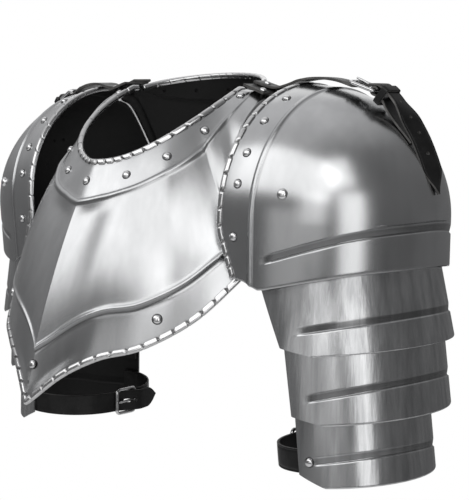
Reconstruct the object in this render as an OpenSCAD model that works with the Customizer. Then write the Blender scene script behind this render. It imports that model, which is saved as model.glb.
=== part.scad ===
// Gorget with pauldrons: neck and shoulder armour of polished steel plate on black leather.
// Frame: +Z up, the wearer faces -Y, +X is the wearer's left. The origin lies in the middle of
// the neck opening, at the height where the gorget sits on the shoulders.

/* [Plate] */
// Thickness of the steel plate
plate_t = 1.5; // [1:0.1:2]
// Radius of the roll round the edges
roll_r = 3.2; // [2.6:0.1:3.6]

/* [Neck opening] */
// Half width of the neck opening at the shoulders
neck_half = 78.5; // [72:0.5:82]
// How far the neck edge reaches forward at the keel
neck_front = 120; // [112:1:126]
// Height of the neck edge at the shoulders
neck_z = 3.5; // [2:0.5:5]
// How far the neck edge drops from the shoulders to the keel
neck_drop = 71.7; // [64:0.1:78]
// How far the neck edge reaches backward at the nape
nape_back = 80; // [74:1:86]
// How far the neck edge rises from the shoulders to the nape
nape_rise = 14; // [8:1:18]

/* [Front plate] */
// How far the lower tip of the keel stands forward of the origin
tip_front = 203; // [196:1:210]
// How far the lower tip of the keel lies below the origin
tip_drop = 290; // [280:1:300]
// Half width across the lower side corners
corner_half = 158; // [154:1:160]
// How far the lower side corners stand behind the front of the pauldron arch
corner_in = 16; // [15:0.5:18]
// How far the lower side corners lie below the origin
corner_drop = 163; // [158:1:167]
// Half width across the outer shoulder ends
shoulder_half = 118; // [114:1:120]
// Height of the outer shoulder ends
shoulder_z = -9; // [-11:0.5:-7]
// Width of the band along the neck edge, at the keel
neck_band = 38; // [32:1:42]
// Width of the border along the lower edge, at the keel
lower_border = 50; // [42:1:56]
// Height of the ridge that bounds the band and the border
ridge_h = 2.4; // [1.4:0.2:3]

/* [Back plate] */
// How far the lower middle of the back plate stands behind the origin
back_depth = 128; // [118:1:134]
// How far the lower middle of the back plate lies below the origin
back_drop = 186; // [170:1:200]
// Half width of the back plate at its lower corners
back_half = 122; // [112:1:124]
// Gap between front and back plate on the shoulders
shoulder_gap = 8; // [6:1:12]

/* [Pauldron dome] */
// Distance of the dome's open face from the middle of the body
dome_x = 140; // [140:0.5:144]
// How far the middle of the dome lies behind the origin
dome_y = 35; // [32:0.5:38]
// How far the middle of the dome lies below the origin
dome_drop = 115; // [113:1:117]
// Radius of the dome's open arch
arch_r = 124; // [122:0.5:126]
// How far the dome bulges sideways from its open face
dome_bulge = 144; // [142:0.5:148]
// Depth from the middle of the dome to its lower edge
dome_skirt = 71.5; // [68:0.5:74]
// Width of the band along the arch
arch_band = 35; // [30:1:40]
// Height of the bead above the dome's lower edge
dome_bead = 40; // [34:1:42]
// Outward swing of the left pauldron as worn
left_lift = 7; // [4:0.5:7]

/* [Lames] */
// Height of the first lame below the dome
lame_1_h = 62; // [56:1:66]
// Height of the second lame that shows
lame_2_h = 63.5; // [58:0.5:68]
// Height of the third lame that shows
lame_3_h = 59; // [54:1:64]
// How much smaller the first lame's radius is than the arch, at its lower edge
lame_1_in = 8.6; // [8.2:0.1:9]
// How much smaller the second lame's radius is than the first one's
lame_2_in = 14; // [13.6:0.1:14.4]
// How much smaller the third lame's radius is than the second one's
lame_3_in = 22; // [20:0.2:23.4]
// Length of each lame hidden under the plate above it
lame_lap = 14; // [12:1:16]
// Height of the bead above the lower edge of a lame
lame_bead = 32; // [28:1:36]

/* [Rivets] */
// Diameter of the dome rivet heads
rivet_d = 8; // [7:0.2:9]
// Diameter of the large rivet on each pauldron
big_rivet_d = 10; // [9:0.2:11]
// Diameter of the rivet shanks
shank_d = 3; // [2.4:0.2:3.6]

/* [Leather and buckles] */
// Thickness of the straps
leather_t = 2.5; // [2:0.1:3]
// Width of the pauldron strap
strap_w = 22; // [20:0.5:24]
// Width of the inner leathers
inner_w = 20; // [18:0.5:22]
// Radius of the wire of the buckle frames
wire_r = 2; // [1.6:0.1:2.2]
// Length of the buckle frames along the strap
buckle_l = 26; // [24:0.5:28]
// Gap between pieces that move past each other
clear = 0.3; // [0.25:0.05:0.4]

/* [Hidden] */

steel = [0.72, 0.73, 0.75];
bright = [0.85, 0.86, 0.88];
black = [0.06, 0.06, 0.06];

// Shares at which the ribs of a plate half stand: n to the lower corner, m up the arm edge
function rib_shares(n, m) = concat([for (i = [0 : n]) corner_share * i / n],
    [for (i = [1 : m]) corner_share + (1 - corner_share) * i / m]);
// Steps of the dome's profile
dome_steps = 16;
$fn = 48;

// Vectors and curves

function unit(v) = v / norm(v);

// Point at share t of a smooth curve through the points p
function curve(p, t) =
    let (n = len(p) - 1,
         f = min(max(t, 0), 1) * n,
         i = min(floor(f), n - 1),
         g = f - i,
         b = p[i],
         c = p[i + 1],
         a = i > 0 ? p[i - 1] : 2 * b - c,
         d = i + 2 <= n ? p[i + 2] : 2 * c - b)
    b + 0.5 * g * (c - a + g * (2 * a - 5 * b + 4 * c - d + g * (3 * (b - c) + d - a)));

// Value of a table of [share, value] rows at share u
function at(table, u) = lookup(u, table);

// Gorget plates

// Neck edge of the front plate: a is 0 at the keel and 93 at the shoulder end
neck_end = 93;
function front_neck(a) =
    let (w = max(cos(a), 0))
    [neck_half * sin(a) * (1 + 0.2 * cos(a)),
     -(neck_front - 5 + 5 * exp(-pow(a / 10, 2))) * cos(a),
     neck_z - neck_drop * (0.68 * w + 0.32 * w * w)];

// Where the shoulder ends of the two plates lie
front_end_y = front_neck(neck_end)[1] + 3;
back_end_y = front_end_y + shoulder_gap;

// How far the lower side corners stand forward of the origin
corner_front = arch_r - dome_y - corner_in;
front_tip = [0, -tip_front, -tip_drop];
front_corner = [corner_half, -corner_front, -corner_drop];
front_shoulder = [shoulder_half, front_end_y, shoulder_z];
// Shares of the way from tip to corner, and from corner to shoulder end
lower_shares = [[0, 0, 0], [0.209, 0.122, 0.228], [0.418, 0.252, 0.376],
    [0.627, 0.425, 0.465], [0.835, 0.704, 0.675], [1, 1, 1]];
arm_shares = [[0, 0, 0], [0.325, -0.006, 0.182], [0.6, 0.105, 0.383],
    [0.85, 0.302, 0.591], [0.9, 0.52, 0.8], [0.93, 0.76, 0.93], [1, 1, 1]];
corner_share = 0.62;

function mul(a, b) = [a[0] * b[0], a[1] * b[1], a[2] * b[2]];

function front_outer(u) = u <= corner_share
    ? front_tip + mul(front_corner - front_tip, curve(lower_shares, u / corner_share))
    : front_corner + mul(front_shoulder - front_corner,
        curve(arm_shares, (u - corner_share) / (1 - corner_share)));

front_bulges = [[0, 8], [0.25, 13], [0.45, 12], [0.55, 6], [0.62, 1], [0.75, 2], [0.85, 3], [1, 3]];
front_band = [[0, 1], [0.15, 1.05], [0.3, 1.05], [0.5, 0.95], [0.7, 0.74], [1, 0.42]];
front_border = [[0, 1], [0.12, 0.88], [0.3, 0.78], [0.55, 0.64], [0.7, 0.4], [1, 0.2]];

// Back plate: share 0 is the middle of the back
back_tip = [0, back_depth, -back_drop];
back_corner = [back_half, back_depth - 22, -back_drop + 44];
back_shoulder = [shoulder_half, back_end_y, shoulder_z];
back_lower_shares = [[0, 0, 0], [0.4, 0.06, 0.12], [0.75, 0.35, 0.4], [1, 1, 1]];
back_arm_shares = [[0, 0, 0], [0.1, 0.2, 0.3], [0.3, 0.5, 0.65], [0.7, 0.8, 0.93], [1, 1, 1]];
function back_neck(a) =
    [neck_half * sin(a), back_end_y - 3 + (nape_back - back_end_y + 3) * cos(a), neck_z + nape_rise * cos(a)];
function back_outer(u) = u <= corner_share
    ? back_tip + mul(back_corner - back_tip, curve(back_lower_shares, u / corner_share))
    : back_corner + mul(back_shoulder - back_corner,
        curve(back_arm_shares, (u - corner_share) / (1 - corner_share)));
back_bulges = [[0, 16], [0.4, 18], [0.62, 14], [0.8, 8], [1, 3]];
back_band = [[0, 0.85], [0.5, 0.8], [0.8, 0.6], [1, 0.42]];
back_border = [[0, 0.5], [0.6, 0.5], [0.75, 0.3], [1, 0.2]];

// Ends of rib u: neck point and outline point
function rib_ends(front, u) = front
    ? [front_neck(neck_end * pow(u, 0.95)), front_outer(u)]
    : [back_neck(90 * u), back_outer(u)];

// Outward direction of rib u
function rib_out(front, u) =
    let (e = 0.02,
         p = rib_ends(front, max(u - e, 0)),
         q = rib_ends(front, min(u + e, 1)),
         r = rib_ends(front, u),
         side = u < e ? [1, 0, 0] : (q[0] + q[1] - p[0] - p[1]) / 2,
         n = cross(side, r[1] - r[0]))
    unit(front ? -n : n);

function rib_bulge(front, u) = at(front ? front_bulges : back_bulges, u);

// Point on the outer face at share s of rib u, raised by h
function rib_point(front, u, s, h = 0) =
    let (e = rib_ends(front, u))
    e[0] + (e[1] - e[0]) * s + rib_out(front, u) * (rib_bulge(front, u) * 4 * s * (1 - s) + h);

// Distances along rib u and the heights there: band, ridge, field, ridge, border
function rib_rows(front, u) =
    let (e = rib_ends(front, u),
         l = norm(e[1] - e[0]),
         k = min(1, l / 90),
         b = neck_band * at(front ? front_band : back_band, u),
         c = l - lower_border * at(front ? front_border : back_border, u),
         h = ridge_h * k)
    [[roll_r, 0], [b * 0.5, 0], [b - 4 * k, 0], [b - 1.5 * k, h], [b + 1.5 * k, h], [b + 4.5 * k, h * 0.5],
     [b + (c - b) * 0.25, h * 0.5], [b + (c - b) * 0.5, h * 0.5], [b + (c - b) * 0.75, h * 0.5],
     [c - 4.5 * k, h * 0.5], [c - 1.5 * k, h], [c + 1 * k, h], [c + 6 * k, 0],
     [(c + 6 * k + l) / 2, 0], [l - roll_r, 0]];

// Closed outline of the plate's section on rib u, with a roll at both ends
function rib_loop(front, u) =
    let (e = rib_ends(front, u),
         l = norm(e[1] - e[0]),
         d = (e[1] - e[0]) / l,
         o = rib_out(front, u),
         rows = rib_rows(front, u),
         top = [for (r = rows) rib_point(front, u, r[0] / l, r[1])],
         n = len(rows),
         low = [for (i = [n - 1 : -1 : 0]) rib_point(front, u, rows[i][0] / l, rows[i][1] - plate_t)],
         c0 = e[0] - o * (plate_t / 2),
         c1 = e[1] - o * (plate_t / 2))
    concat(top,
        [for (a = [60, 20, -20, -60]) c1 + (d * cos(a) + o * sin(a)) * roll_r],
        low,
        [for (a = [-120, -160, 160, 120]) c0 + (d * cos(a) + o * sin(a)) * roll_r]);

function flip(p) = [-p[0], p[1], p[2]];

// One plate: the loops of all ribs from one shoulder end to the other, joined as a skin
module gorget_plate(front, shares) {
    half = [for (u = shares) rib_loop(front, u)];
    n = len(shares) - 1;
    loops = concat([for (i = [n : -1 : 1]) [for (p = half[i]) flip(p)]], half);
    m = len(loops[0]);
    k = len(loops);
    points = [for (lp = loops) for (p = lp) p];
    skin = [for (i = [0 : k - 2]) for (j = [0 : m - 1])
        let (a = i * m + j, b = i * m + (j + 1) % m) each [[a, b, b + m], [a, b + m, a + m]]];
    ends = [[for (j = [m - 1 : -1 : 0]) j], [for (j = [0 : m - 1]) (k - 1) * m + j]];
    faces = concat(skin, ends);
    turned = [for (f = faces) [for (j = [len(f) - 1 : -1 : 0]) f[j]]];
    polyhedron(points, front ? turned : faces, convexity = 8);
}

// Rivets

// Turns +Z to the direction n and moves it to p
module on(p, n) {
    translate(p) rotate([0, acos(n[2]), atan2(n[1], n[0])]) children();
}

// Dome-headed rivet: the head sits on z = 0, the shank goes down by l
module rivet(d, l) {
    rotate_extrude() polygon(concat([[0, -l], [shank_d / 2, -l], [shank_d / 2, 0], [d / 2, 0]],
        [for (a = [15 : 15 : 75]) [d / 2 * cos(a), 0.34 * d * sin(a)]], [[0, 0.34 * d]]));
}

// Direction square to the plate at share s of rib u
function plate_normal(front, u, s) =
    let (e = 0.01,
         a = rib_point(front, u, s + e) - rib_point(front, u, s - e),
         b = rib_point(front, min(u + e, 1), s) - rib_point(front, max(u - e, 0), s),
         n = cross(b, a))
    unit(front ? -n : n);

module plate_rivet(front, u, dist, side, d = rivet_d) {
    e = rib_ends(front, u);
    s = dist / norm(e[1] - e[0]);
    p = rib_point(front, u, s);
    q = plate_normal(front, u, s);
    on(side > 0 ? p : flip(p), side > 0 ? q : flip(q)) rivet(d, plate_t + 1);
}

// Places along the ribs of the neck rivets, and the share of the band at which they sit
neck_rivet_u = [0.245, 0.455, 0.67, 0.925];
back_rivet_u = [0.15, 0.45, 0.75];
// Border rivets: rib, and distance from the lower edge
border_rivet_u = 0.413;
border_rivet_d = 17.9;
tip_rivet_d = 35;
function rib_l(u) = norm(rib_ends(true, u)[1] - rib_ends(true, u)[0]);

// Pauldron frames

dome_z = -dome_drop;
// The left pauldron swings about a line along Y at this place
hang_x = 91;

// Level pieces take this tilt on the left, and the whole right pauldron takes it back
module left_tilt() {
    translate([hang_x, 0, dome_z]) rotate([0, -left_lift, 0]) translate([-hang_x, 0, -dome_z]) children();
}
module level_back() {
    translate([hang_x, 0, dome_z]) rotate([0, left_lift, 0]) translate([-hang_x, 0, -dome_z]) children();
}
module right_side() {
    mirror([1, 0, 0]) level_back() children();
}
// The same tilt as functions on an [x, z] pair
function to_left(p) =
    let (x = p[0] - hang_x, z = p[1] - dome_z, c = cos(left_lift), s = sin(left_lift))
    [hang_x + x * c - z * s, dome_z + x * s + z * c];
function to_level(p) =
    let (x = p[0] - hang_x, z = p[1] - dome_z, c = cos(left_lift), s = sin(left_lift))
    [hang_x + x * c + z * s, dome_z - x * s + z * c];

// Pauldron dome

function dome_rad(x, r = arch_r, w = dome_bulge) = r * sqrt(max(0, 1 - pow((x - dome_x) / w, 2)));

// Outer line of the dome as [radius, x], from the arch to the outermost point
// Angles at which the ridge of the band stands
ridge_a = asin(arch_band / dome_bulge);
function dome_outer() =
    let (a0 = [for (a = [ridge_a - 1.6, ridge_a - 0.5, ridge_a + 0.5, ridge_a + 1.6]) a],
         h = [0, ridge_h * 0.7, ridge_h * 0.7, ridge_h * 0.2],
         low = [for (a = [3, ridge_a * 0.5]) [arch_r * cos(a), dome_x + dome_bulge * sin(a)]],
         mid = [for (i = [0 : 3]) [(arch_r + h[i]) * cos(a0[i]), dome_x + (dome_bulge + h[i]) * sin(a0[i])]],
         n = dome_steps,
         up = [for (i = [1 : n])
            let (a = ridge_a + 1.6 + (90 - ridge_a - 1.6) * i / n, k = ridge_h * 0.2 * (1 - i / n))
            [(arch_r + k) * cos(a), dome_x + (dome_bulge + k) * sin(a)]])
    concat(low, mid, up);
function dome_inner() = [for (p = dome_outer())
    let (x = (p[1] - dome_x) / dome_bulge, y = p[0] / arch_r)
    [max(0, p[0] - plate_t * y), dome_x + (p[1] - dome_x) - plate_t * x]];
// The plate in plan: front wall, outermost point and rear wall, raised by h and thinned by t
function dome_plan(h, t) =
    let (o = [for (p = dome_outer()) [p[1] + h * (p[1] - dome_x) / dome_bulge, p[0] + h * p[0] / arch_r]],
         q = [for (p = dome_outer())
            [p[1] - t * (p[1] - dome_x) / dome_bulge, p[0] - t * p[0] / arch_r]],
         n = len(o))
    concat([for (p = o) [p[0], dome_y - p[1]]], [for (i = [n - 2 : -1 : 0]) [o[i][0], dome_y + o[i][1]]],
        [for (p = q) [p[0], dome_y + p[1]]], [for (i = [n - 2 : -1 : 0]) [q[i][0], dome_y - q[i][1]]]);

// Lower edge of the dome, as a height above the level plane through it
module above_lower_edge(h, tall) {
    left_tilt() translate([0, -300, dome_z - dome_skirt + h]) cube([500, 800, tall]);
}

// Outline in [x, z] of what the dome loses at its lower neck-side corners
corner_slope = [[dome_x + 1, dome_z - 12], [dome_x + 16.5, dome_z - 52]];
function corner_cut() = [[dome_x - 30, dome_z - 12], corner_slope[0], corner_slope[1],
    [dome_x + 28, dome_z - 54], [dome_x + 46, dome_z - 62], [dome_x + 46, dome_z - 140],
    [dome_x - 30, dome_z - 140]];

// A rod of radius r from p to q
module rod(p, q, r) {
    v = q - p;
    translate(p) rotate([0, acos(v[2] / norm(v)), atan2(v[1], v[0])]) cylinder(r = r, h = norm(v));
}

module dome() {
    roll_c = arch_r - plate_t / 2;
    // Upper half: turned about the line along X through the middle of the dome
    translate([0, dome_y, dome_z]) rotate([90, 0, 90]) rotate_extrude(angle = 180)
        polygon(concat(dome_outer(), [for (i = [len(dome_inner()) - 1 : -1 : 0]) dome_inner()[i]]));
    translate([0, dome_y, dome_z]) rotate([90, 0, 90]) rotate_extrude(angle = 180)
        translate([roll_c, dome_x]) circle(r = roll_r, $fn = 24);
    difference() {
        union() {
            translate([0, 0, dome_z - dome_skirt - 20])
                linear_extrude(dome_skirt + 20) polygon(dome_plan(0, plate_t));
            for (s = [-1, 1])
                translate([dome_x, dome_y + s * roll_c, dome_z - 20]) cylinder(r = roll_r, h = 20, $fn = 24);
            // Bead above the lower edge, which fades out toward the arch
            intersection() {
                translate([0, 0, dome_z - dome_skirt])
                    linear_extrude(dome_skirt - 1) polygon(dome_plan(1.3, plate_t));
                above_lower_edge(dome_bead, 4.5);
                translate([dome_x + 45, -300, -400]) cube([300, 800, 500]);
            }
        }
        above_lower_edge(-60, 60);
        translate([0, 300, 0]) rotate([90, 0, 0]) linear_extrude(600) polygon(corner_cut());
    }
    for (s = [-1, 1]) {
        y = dome_y + s * (roll_c + 2.3);
        rod([dome_x + 0.8, y, dome_z - 11], [corner_slope[1][0], y, corner_slope[1][1] + 2], roll_r * 0.8);
    }
}

// Place and direction on the dome at angle a round the arch (0 in front, 90 on top) and at x
function dome_at(a, x) =
    let (r = dome_rad(x))
    [x, dome_y - r * cos(a), dome_z + r * sin(a)];
function dome_out(a, x) =
    let (r = dome_rad(x), k = (x - dome_x) / pow(dome_bulge, 2), m = r / pow(arch_r, 2))
    unit([k, -m * cos(a), m * sin(a)]);
// On the skirt, at height z below the middle
function skirt_at(x, z) = [x, dome_y - dome_rad(x), z];
function skirt_out(x) =
    let (k = (x - dome_x) / pow(dome_bulge, 2), m = dome_rad(x) / pow(arch_r, 2))
    unit([k, -m, 0]);

band_x = dome_x + arch_band * 0.48;
dome_rivet_a = [16, 30, 47, 64];
big_x = dome_x + 62.5;
big_a = 14;
// The lowest band rivet sits on the skirt
low_rivet_z = dome_z - 14;

module both_faces() {
    children();
    translate([0, 2 * dome_y, 0]) mirror([0, 1, 0]) children();
}

module dome_rivets() {
    both_faces() {
        for (a = dome_rivet_a) on(dome_at(a, band_x), dome_out(a, band_x)) rivet(rivet_d, plate_t + 1);
        on(skirt_at(band_x, low_rivet_z), skirt_out(band_x)) rivet(rivet_d, plate_t + 1);
        on(dome_at(big_a, big_x), dome_out(big_a, big_x)) rivet(big_rivet_d, plate_t + leather_t + 3.2);
    }
}

// Lames, in the level frame

edge_z = [dome_z - dome_skirt, dome_z - dome_skirt - lame_1_h, dome_z - dome_skirt - lame_1_h - lame_2_h,
    dome_z - dome_skirt - lame_1_h - lame_2_h - lame_3_h];
lame_1_r = arch_r - lame_1_in;
lame_2_r = lame_1_r - lame_2_in;
lame_3_r = lame_2_r - lame_3_in;
lame_r = [lame_1_r, lame_2_r, lame_3_r];
// How far each lame's outermost place stands behind that of the dome, and its middle before the dome's
lame_behind = [7.6, 12.6, 25.1];
lame_before = [0, 1.5, 8.8];
lame_c = [for (k = [0 : 2]) [dome_x + dome_bulge - lame_behind[k] - lame_r[k], dome_y - lame_before[k]]];
// How much narrower each lame is at its upper edge
lame_flare = [8.6, 2, 1.2];
lame_top_r = lame_r - lame_flare;
// Front edge at the top and at the bottom, and the width and height of the cut corner
lame_front = [[165, 190], [185, 189], [181, 182]];
lame_corner = [[30, 9], [30, 9], [26, 12]];

function lame_z0(k) = edge_z[k] + lame_lap;
function lame_rad(k, z) =
    let (t = (lame_z0(k) - z) / (lame_z0(k) - edge_z[k + 1]))
    lame_top_r[k] + lame_flare[k] * t;

module lame(k) {
    z0 = lame_z0(k);
    z1 = edge_z[k + 1];
    zb = z1 + lame_bead;
    c = lame_c[k];
    f = lame_front[k];
    difference() {
        translate([c[0], c[1], 0]) rotate([0, 0, -100]) rotate_extrude(angle = 200) polygon([
            [lame_rad(k, z0), z0], [lame_rad(k, zb + 4), zb + 4], [lame_rad(k, zb + 2) + 1.2, zb + 2],
            [lame_rad(k, zb) + 1.2, zb], [lame_rad(k, zb - 3), zb - 3], [lame_rad(k, z1), z1],
            [lame_rad(k, z1) - plate_t, z1], [lame_rad(k, zb - 3) - plate_t, zb - 3],
            [lame_rad(k, zb + 4) - plate_t, zb + 4], [lame_rad(k, z0) - plate_t, z0]]);
        translate([0, 300, 0]) rotate([90, 0, 0]) linear_extrude(600) polygon([
            [0, z0 + 1], [f[0], z0 + 1], [f[1], z1 + lame_corner[k][1]],
            [f[1] + lame_corner[k][0], z1 - 0.01], [f[1] + lame_corner[k][0], z1 - 5], [0, z1 - 5]]);
    }
}

// Inner leathers

// Middle from which the leathers are measured, and their directions
hub = [176, 30];
leather_gap = 0.25;
// The large rivet in the level frame: its height, and its offset from the hub in front (s = -1) or behind
big_level = to_level([big_x, dome_at(big_a, big_x)[2]]);
function big_off(s) = [big_level[0], dome_y + s * (dome_y - dome_at(big_a, big_x)[1])] - hub;
leather_dirs = [for (s = [-1, 1]) atan2(big_off(s)[1], big_off(s)[0])];

// Distance from the hub, in direction a, of the inner face of lame k at height z, at the
// edge of a leather that is w / 2 to the side
function lame_reach(k, a, z, w) =
    let (v = lame_c[k] - hub - [-sin(a), cos(a)] * (w / 2),
         b = v * [cos(a), sin(a)],
         r = lame_rad(k, z) - plate_t)
    b + sqrt(b * b - v * v + r * r);
function lame_in(k, a, z) = min(lame_reach(k, a, z, inner_w), lame_reach(k, a, z, -inner_w));

// Distance from the hub of the outer face of the leather that lame k carries
function strip_d(k, a) = min(lame_in(k, a, lame_z0(k)), lame_in(k, a, lame_z0(k) - 12)) - leather_gap / 2;

// A strap that follows the points [distance, height] in direction a, as wide as w
module leather_path(a, pts, w = inner_w) {
    translate([hub[0], hub[1], 0]) rotate([0, 0, a]) translate([0, w / 2, 0]) rotate([90, 0, 0])
        linear_extrude(w) polygon(ribbon(pts, leather_t));
}

// Outline of a band of thickness t along the middle line p
function ribbon_side(p, t) = [for (i = [0 : len(p) - 1])
    let (a = p[max(i - 1, 0)], b = p[i], c = p[min(i + 1, len(p) - 1)],
         u = i > 0 ? unit(b - a) : unit(c - b), v = i < len(p) - 1 ? unit(c - b) : unit(b - a),
         n = unit([-(u + v)[1], (u + v)[0]]), m = [-u[1], u[0]])
    b + n * t / (n * m)];
function ribbon(p, t) =
    let (l = ribbon_side(p, t / 2), r = ribbon_side(p, -t / 2))
    concat(l, [for (i = [len(r) - 1 : -1 : 0]) r[i]]);

// Reach of a lame's leather above the lame, and how far each lame can rise
reach = 20;
travel = 15;
slant = 8;
// How far below a lame's upper edge its leather rivets sit
rivet_drop = 7;

// Height at which the leather of lame k starts to slant toward the next lame
function slant_low(k) = lame_z0(k + 1) + reach + travel + 3;
function slant_top(k) = slant_low(k) + slant;
// Middle of the leather that hangs inside the leather of lame k
function hang_d(k, a) = strip_d(k, a) - 1.5 * leather_t - clear;

// Height at which that leather ends, above the rivets of the raised lame k
function hang_end(k) = lame_z0(k) - rivet_drop + travel + 4;

// Leathers of lame k, from above its upper edge down inside the next lame
module lame_leathers(k) {
    for (a = leather_dirs) {
        d = strip_d(k, a) - leather_t / 2;
        z = lame_z0(k) + reach;
        if (k < 2) {
            e = hang_d(k + 1, a);
            leather_path(a, [[d, z], [d, slant_top(k)], [e, slant_low(k)], [e, hang_end(k + 1)]]);
        } else {
            leather_path(a, [[d, z], [d, lame_z0(k) - 22]]);
        }
    }
}

// Leathers that hang from the large rivets inside the dome, behind those of the first lame
module dome_leathers() {
    lean = tan(12.7);
    for (s = [-1, 1]) {
        a = atan2(big_off(s)[1], big_off(s)[0]);
        d = norm(big_off(s)) - plate_t - leather_t / 2 - 2.6;
        e = hang_d(0, a);
        z = lame_z0(0) + reach + travel + 3;
        leather_path(a, [[d - 7 * lean, big_level[1] + 7], [d + 6 * lean, big_level[1] - 6],
            [e, z], [e, hang_end(0)]]);
    }
}

// Flush rivets that hold the leathers of lame k
module lame_rivets(k) {
    z = lame_z0(k) - rivet_drop;
    for (a = leather_dirs) {
        d = strip_d(k, a) - leather_t - 0.8;
        translate([hub[0], hub[1], z]) rotate([0, 0, a]) rotate([0, 90, 0])
            translate([0, 0, d]) cylinder(d = shank_d, h = lame_reach(k, a, z, 0) + plate_t * 0.6 - d);
    }
}

// Buckles

// In a buckle's own frame the strap runs along +X, +Z points away from the wearer, the hinge
// bar lies at x = buckle_l / 2 and the tip bar at x = -buckle_l / 2
bar_x = buckle_l / 2;
frame_w = strap_w + 8;
prong_r = 1.5;
loop_in = wire_r + 0.15;
loop_out = loop_in + 1.6;
under_bar = wire_r + leather_t / 2 + 0.2;
over_bar = loop_in + leather_t * 1.5 + 0.8;

module buckle_frame() {
    side_t = wire_r * 1.5;
    for (x = [-bar_x, bar_x])
        translate([x, frame_w / 2, 0]) rotate([90, 0, 0]) cylinder(r = wire_r, h = frame_w);
    for (y = [-1, 1]) translate([-bar_x - 0.5, y * (frame_w - side_t) / 2 - side_t / 2, -side_t / 2])
        cube([buckle_l + 1, side_t, side_t]);
}

// The prong turns on the hinge bar and rests on the tip bar
module buckle_prong() {
    rise = wire_r + prong_r + 0.1;
    difference() {
        union() {
            translate([bar_x, 2.5, 0]) rotate([90, 0, 0]) cylinder(r = loop_out, h = 5);
            rod([bar_x - loop_in - 0.6, 0, 0.6], [-bar_x - wire_r, 0, rise + 0.2], prong_r);
        }
        translate([bar_x, 4, 0]) rotate([90, 0, 0]) cylinder(r = loop_in - 0.1, h = 8);
    }
}

// Slot in the strap for the prong
module prong_slot() {
    translate([-bar_x + 2, -2.3, -12]) cube([buckle_l + 3, 4.6, 24]);
}

// Leather that loops round the hinge bar; its tail follows the points p in [x, z]
module chape(p) {
    rotate([90, 0, 0]) translate([0, 0, -strap_w / 2]) difference() {
        union() {
            translate([bar_x, 0, 0]) cylinder(r = loop_in + leather_t, h = strap_w);
            linear_extrude(strap_w)
                polygon(ribbon(concat([[bar_x, -loop_in - leather_t / 2]], p), leather_t));
        }
        translate([bar_x, 0, -1]) cylinder(r = loop_in, h = strap_w + 2);
        translate([-8, -20, strap_w / 2 - 2.8]) cube([bar_x + loop_in + leather_t + 8, 40, 5.6]);
    }
}

// Pauldron strap

// Top of the roped edge of the arch
rope_top = dome_z + arch_r - plate_t / 2 + roll_r;
pivot = [128.5, rope_top - 1.95];
strap_y = 27;
strap_yaw = 8.8;
// The buckle's middle and its tilt
buckle_at = [207, rope_top - 3.65];
buckle_tilt = -18;
// Strap plane: local x runs outward from the pivot, local z is height
module strap_plane() {
    translate([pivot[0], strap_y, 0]) rotate([0, 0, strap_yaw]) children();
}
function sx(x) = (x - pivot[0]) / cos(strap_yaw);
// A point given in the buckle's own frame, in the strap plane
function from_buckle(p) = [sx(buckle_at[0]) + p[0] * cos(buckle_tilt) - p[1] * sin(buckle_tilt),
    buckle_at[1] + p[0] * sin(buckle_tilt) + p[1] * cos(buckle_tilt)];
function to_buckle(p) =
    let (q = [p[0] - sx(buckle_at[0]), p[1] - buckle_at[1]])
    [q[0] * cos(buckle_tilt) + q[1] * sin(buckle_tilt), -q[0] * sin(buckle_tilt) + q[1] * cos(buckle_tilt)];
module at_buckle() {
    strap_plane() translate([sx(buckle_at[0]), 0, buckle_at[1]]) rotate([0, -buckle_tilt, 0]) children();
}

// Height of the dome under the strap plane at local x = s, raised by n square to it
function dome_under(s, n) =
    let (x = pivot[0] + s * cos(strap_yaw),
         y = strap_y + s * sin(strap_yaw) - dome_y,
         r = dome_rad(x),
         z = sqrt(r * r - y * y),
         g = unit([(x - dome_x) / pow(dome_bulge, 2), z / pow(arch_r, 2)]))
    [s, dome_z + z] + n * g;

strap_over = rope_top + clear + leather_t / 2;
// The loose end of the strap: places on the dome and the height of the strap's middle above them
strap_tail = [[224.32, 18.52], [237.56, 13.71], [248.25, 9.72], [258.63, 6.91],
    [271.03, 3.37], [279.82, 2.79]];
strap_pts = concat(
    [[sx(pivot[0] - 6), pivot[1] - 2.7], [0, pivot[1]], [sx(134), pivot[1] + 2.4],
        [sx(dome_x), strap_over + 0.2], [sx(150), strap_over + 1.8], [sx(165), strap_over + 2],
        [sx(180), strap_over], from_buckle([-bar_x, -under_bar]), from_buckle([-bar_x + 3, -under_bar]),
        from_buckle([bar_x, over_bar]), from_buckle([bar_x + 5, over_bar - 0.9])],
    [for (p = strap_tail) dome_under(sx(p[0]), p[1])]);
strap_hole_at = [11, 12, 13, 14];

module strap() {
    difference() {
        strap_plane() rotate([90, 0, 0]) translate([0, 0, -strap_w / 2]) linear_extrude(strap_w)
            polygon(ribbon(strap_pts, leather_t));
        translate([pivot[0] - 50 + clear / 2, 0, -50]) cube([50, 100, 100]);
        at_buckle() prong_slot();
        for (i = strap_hole_at) {
            p = (strap_pts[i] + strap_pts[i + 1]) / 2;
            v = strap_pts[i + 1] - strap_pts[i];
            strap_plane() translate([p[0], 0, p[1]]) rotate([0, atan2(-v[1], v[0]), 0])
                translate([0, 0, -5]) cylinder(d = 3.4, h = 10);
        }
        // Pointed tip
        tip_z = strap_pts[16][1];
        strap_plane() for (s = [-1, 1]) translate([sx(255), 0, 0]) rotate([90, 0, 90]) linear_extrude(60)
            polygon([[0, tip_z - 1.5], [s * strap_w / 2, tip_z + 17], [s * strap_w, tip_z + 17],
                [s * strap_w, tip_z - 21], [0, tip_z - 21]]);
    }
}

module strap_keeper() {
    i = 11;
    a = strap_pts[i - 1];
    b = strap_pts[i];
    m = a * 0.45 + b * 0.55;
    v = unit(b - a);
    low = 15;
    w = strap_w + 0.6;
    strap_plane() translate([m[0], 0, m[1]]) rotate([0, atan2(-v[1], v[0]), 0]) difference() {
        translate([-3.5, -w / 2 - 2, -low]) cube([7, w + 4, low + leather_t / 2 + 0.3 + 2]);
        translate([-5, -w / 2, -low + 2]) cube([10, w, low - 2 + leather_t / 2 + 0.3]);
    }
}

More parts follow.
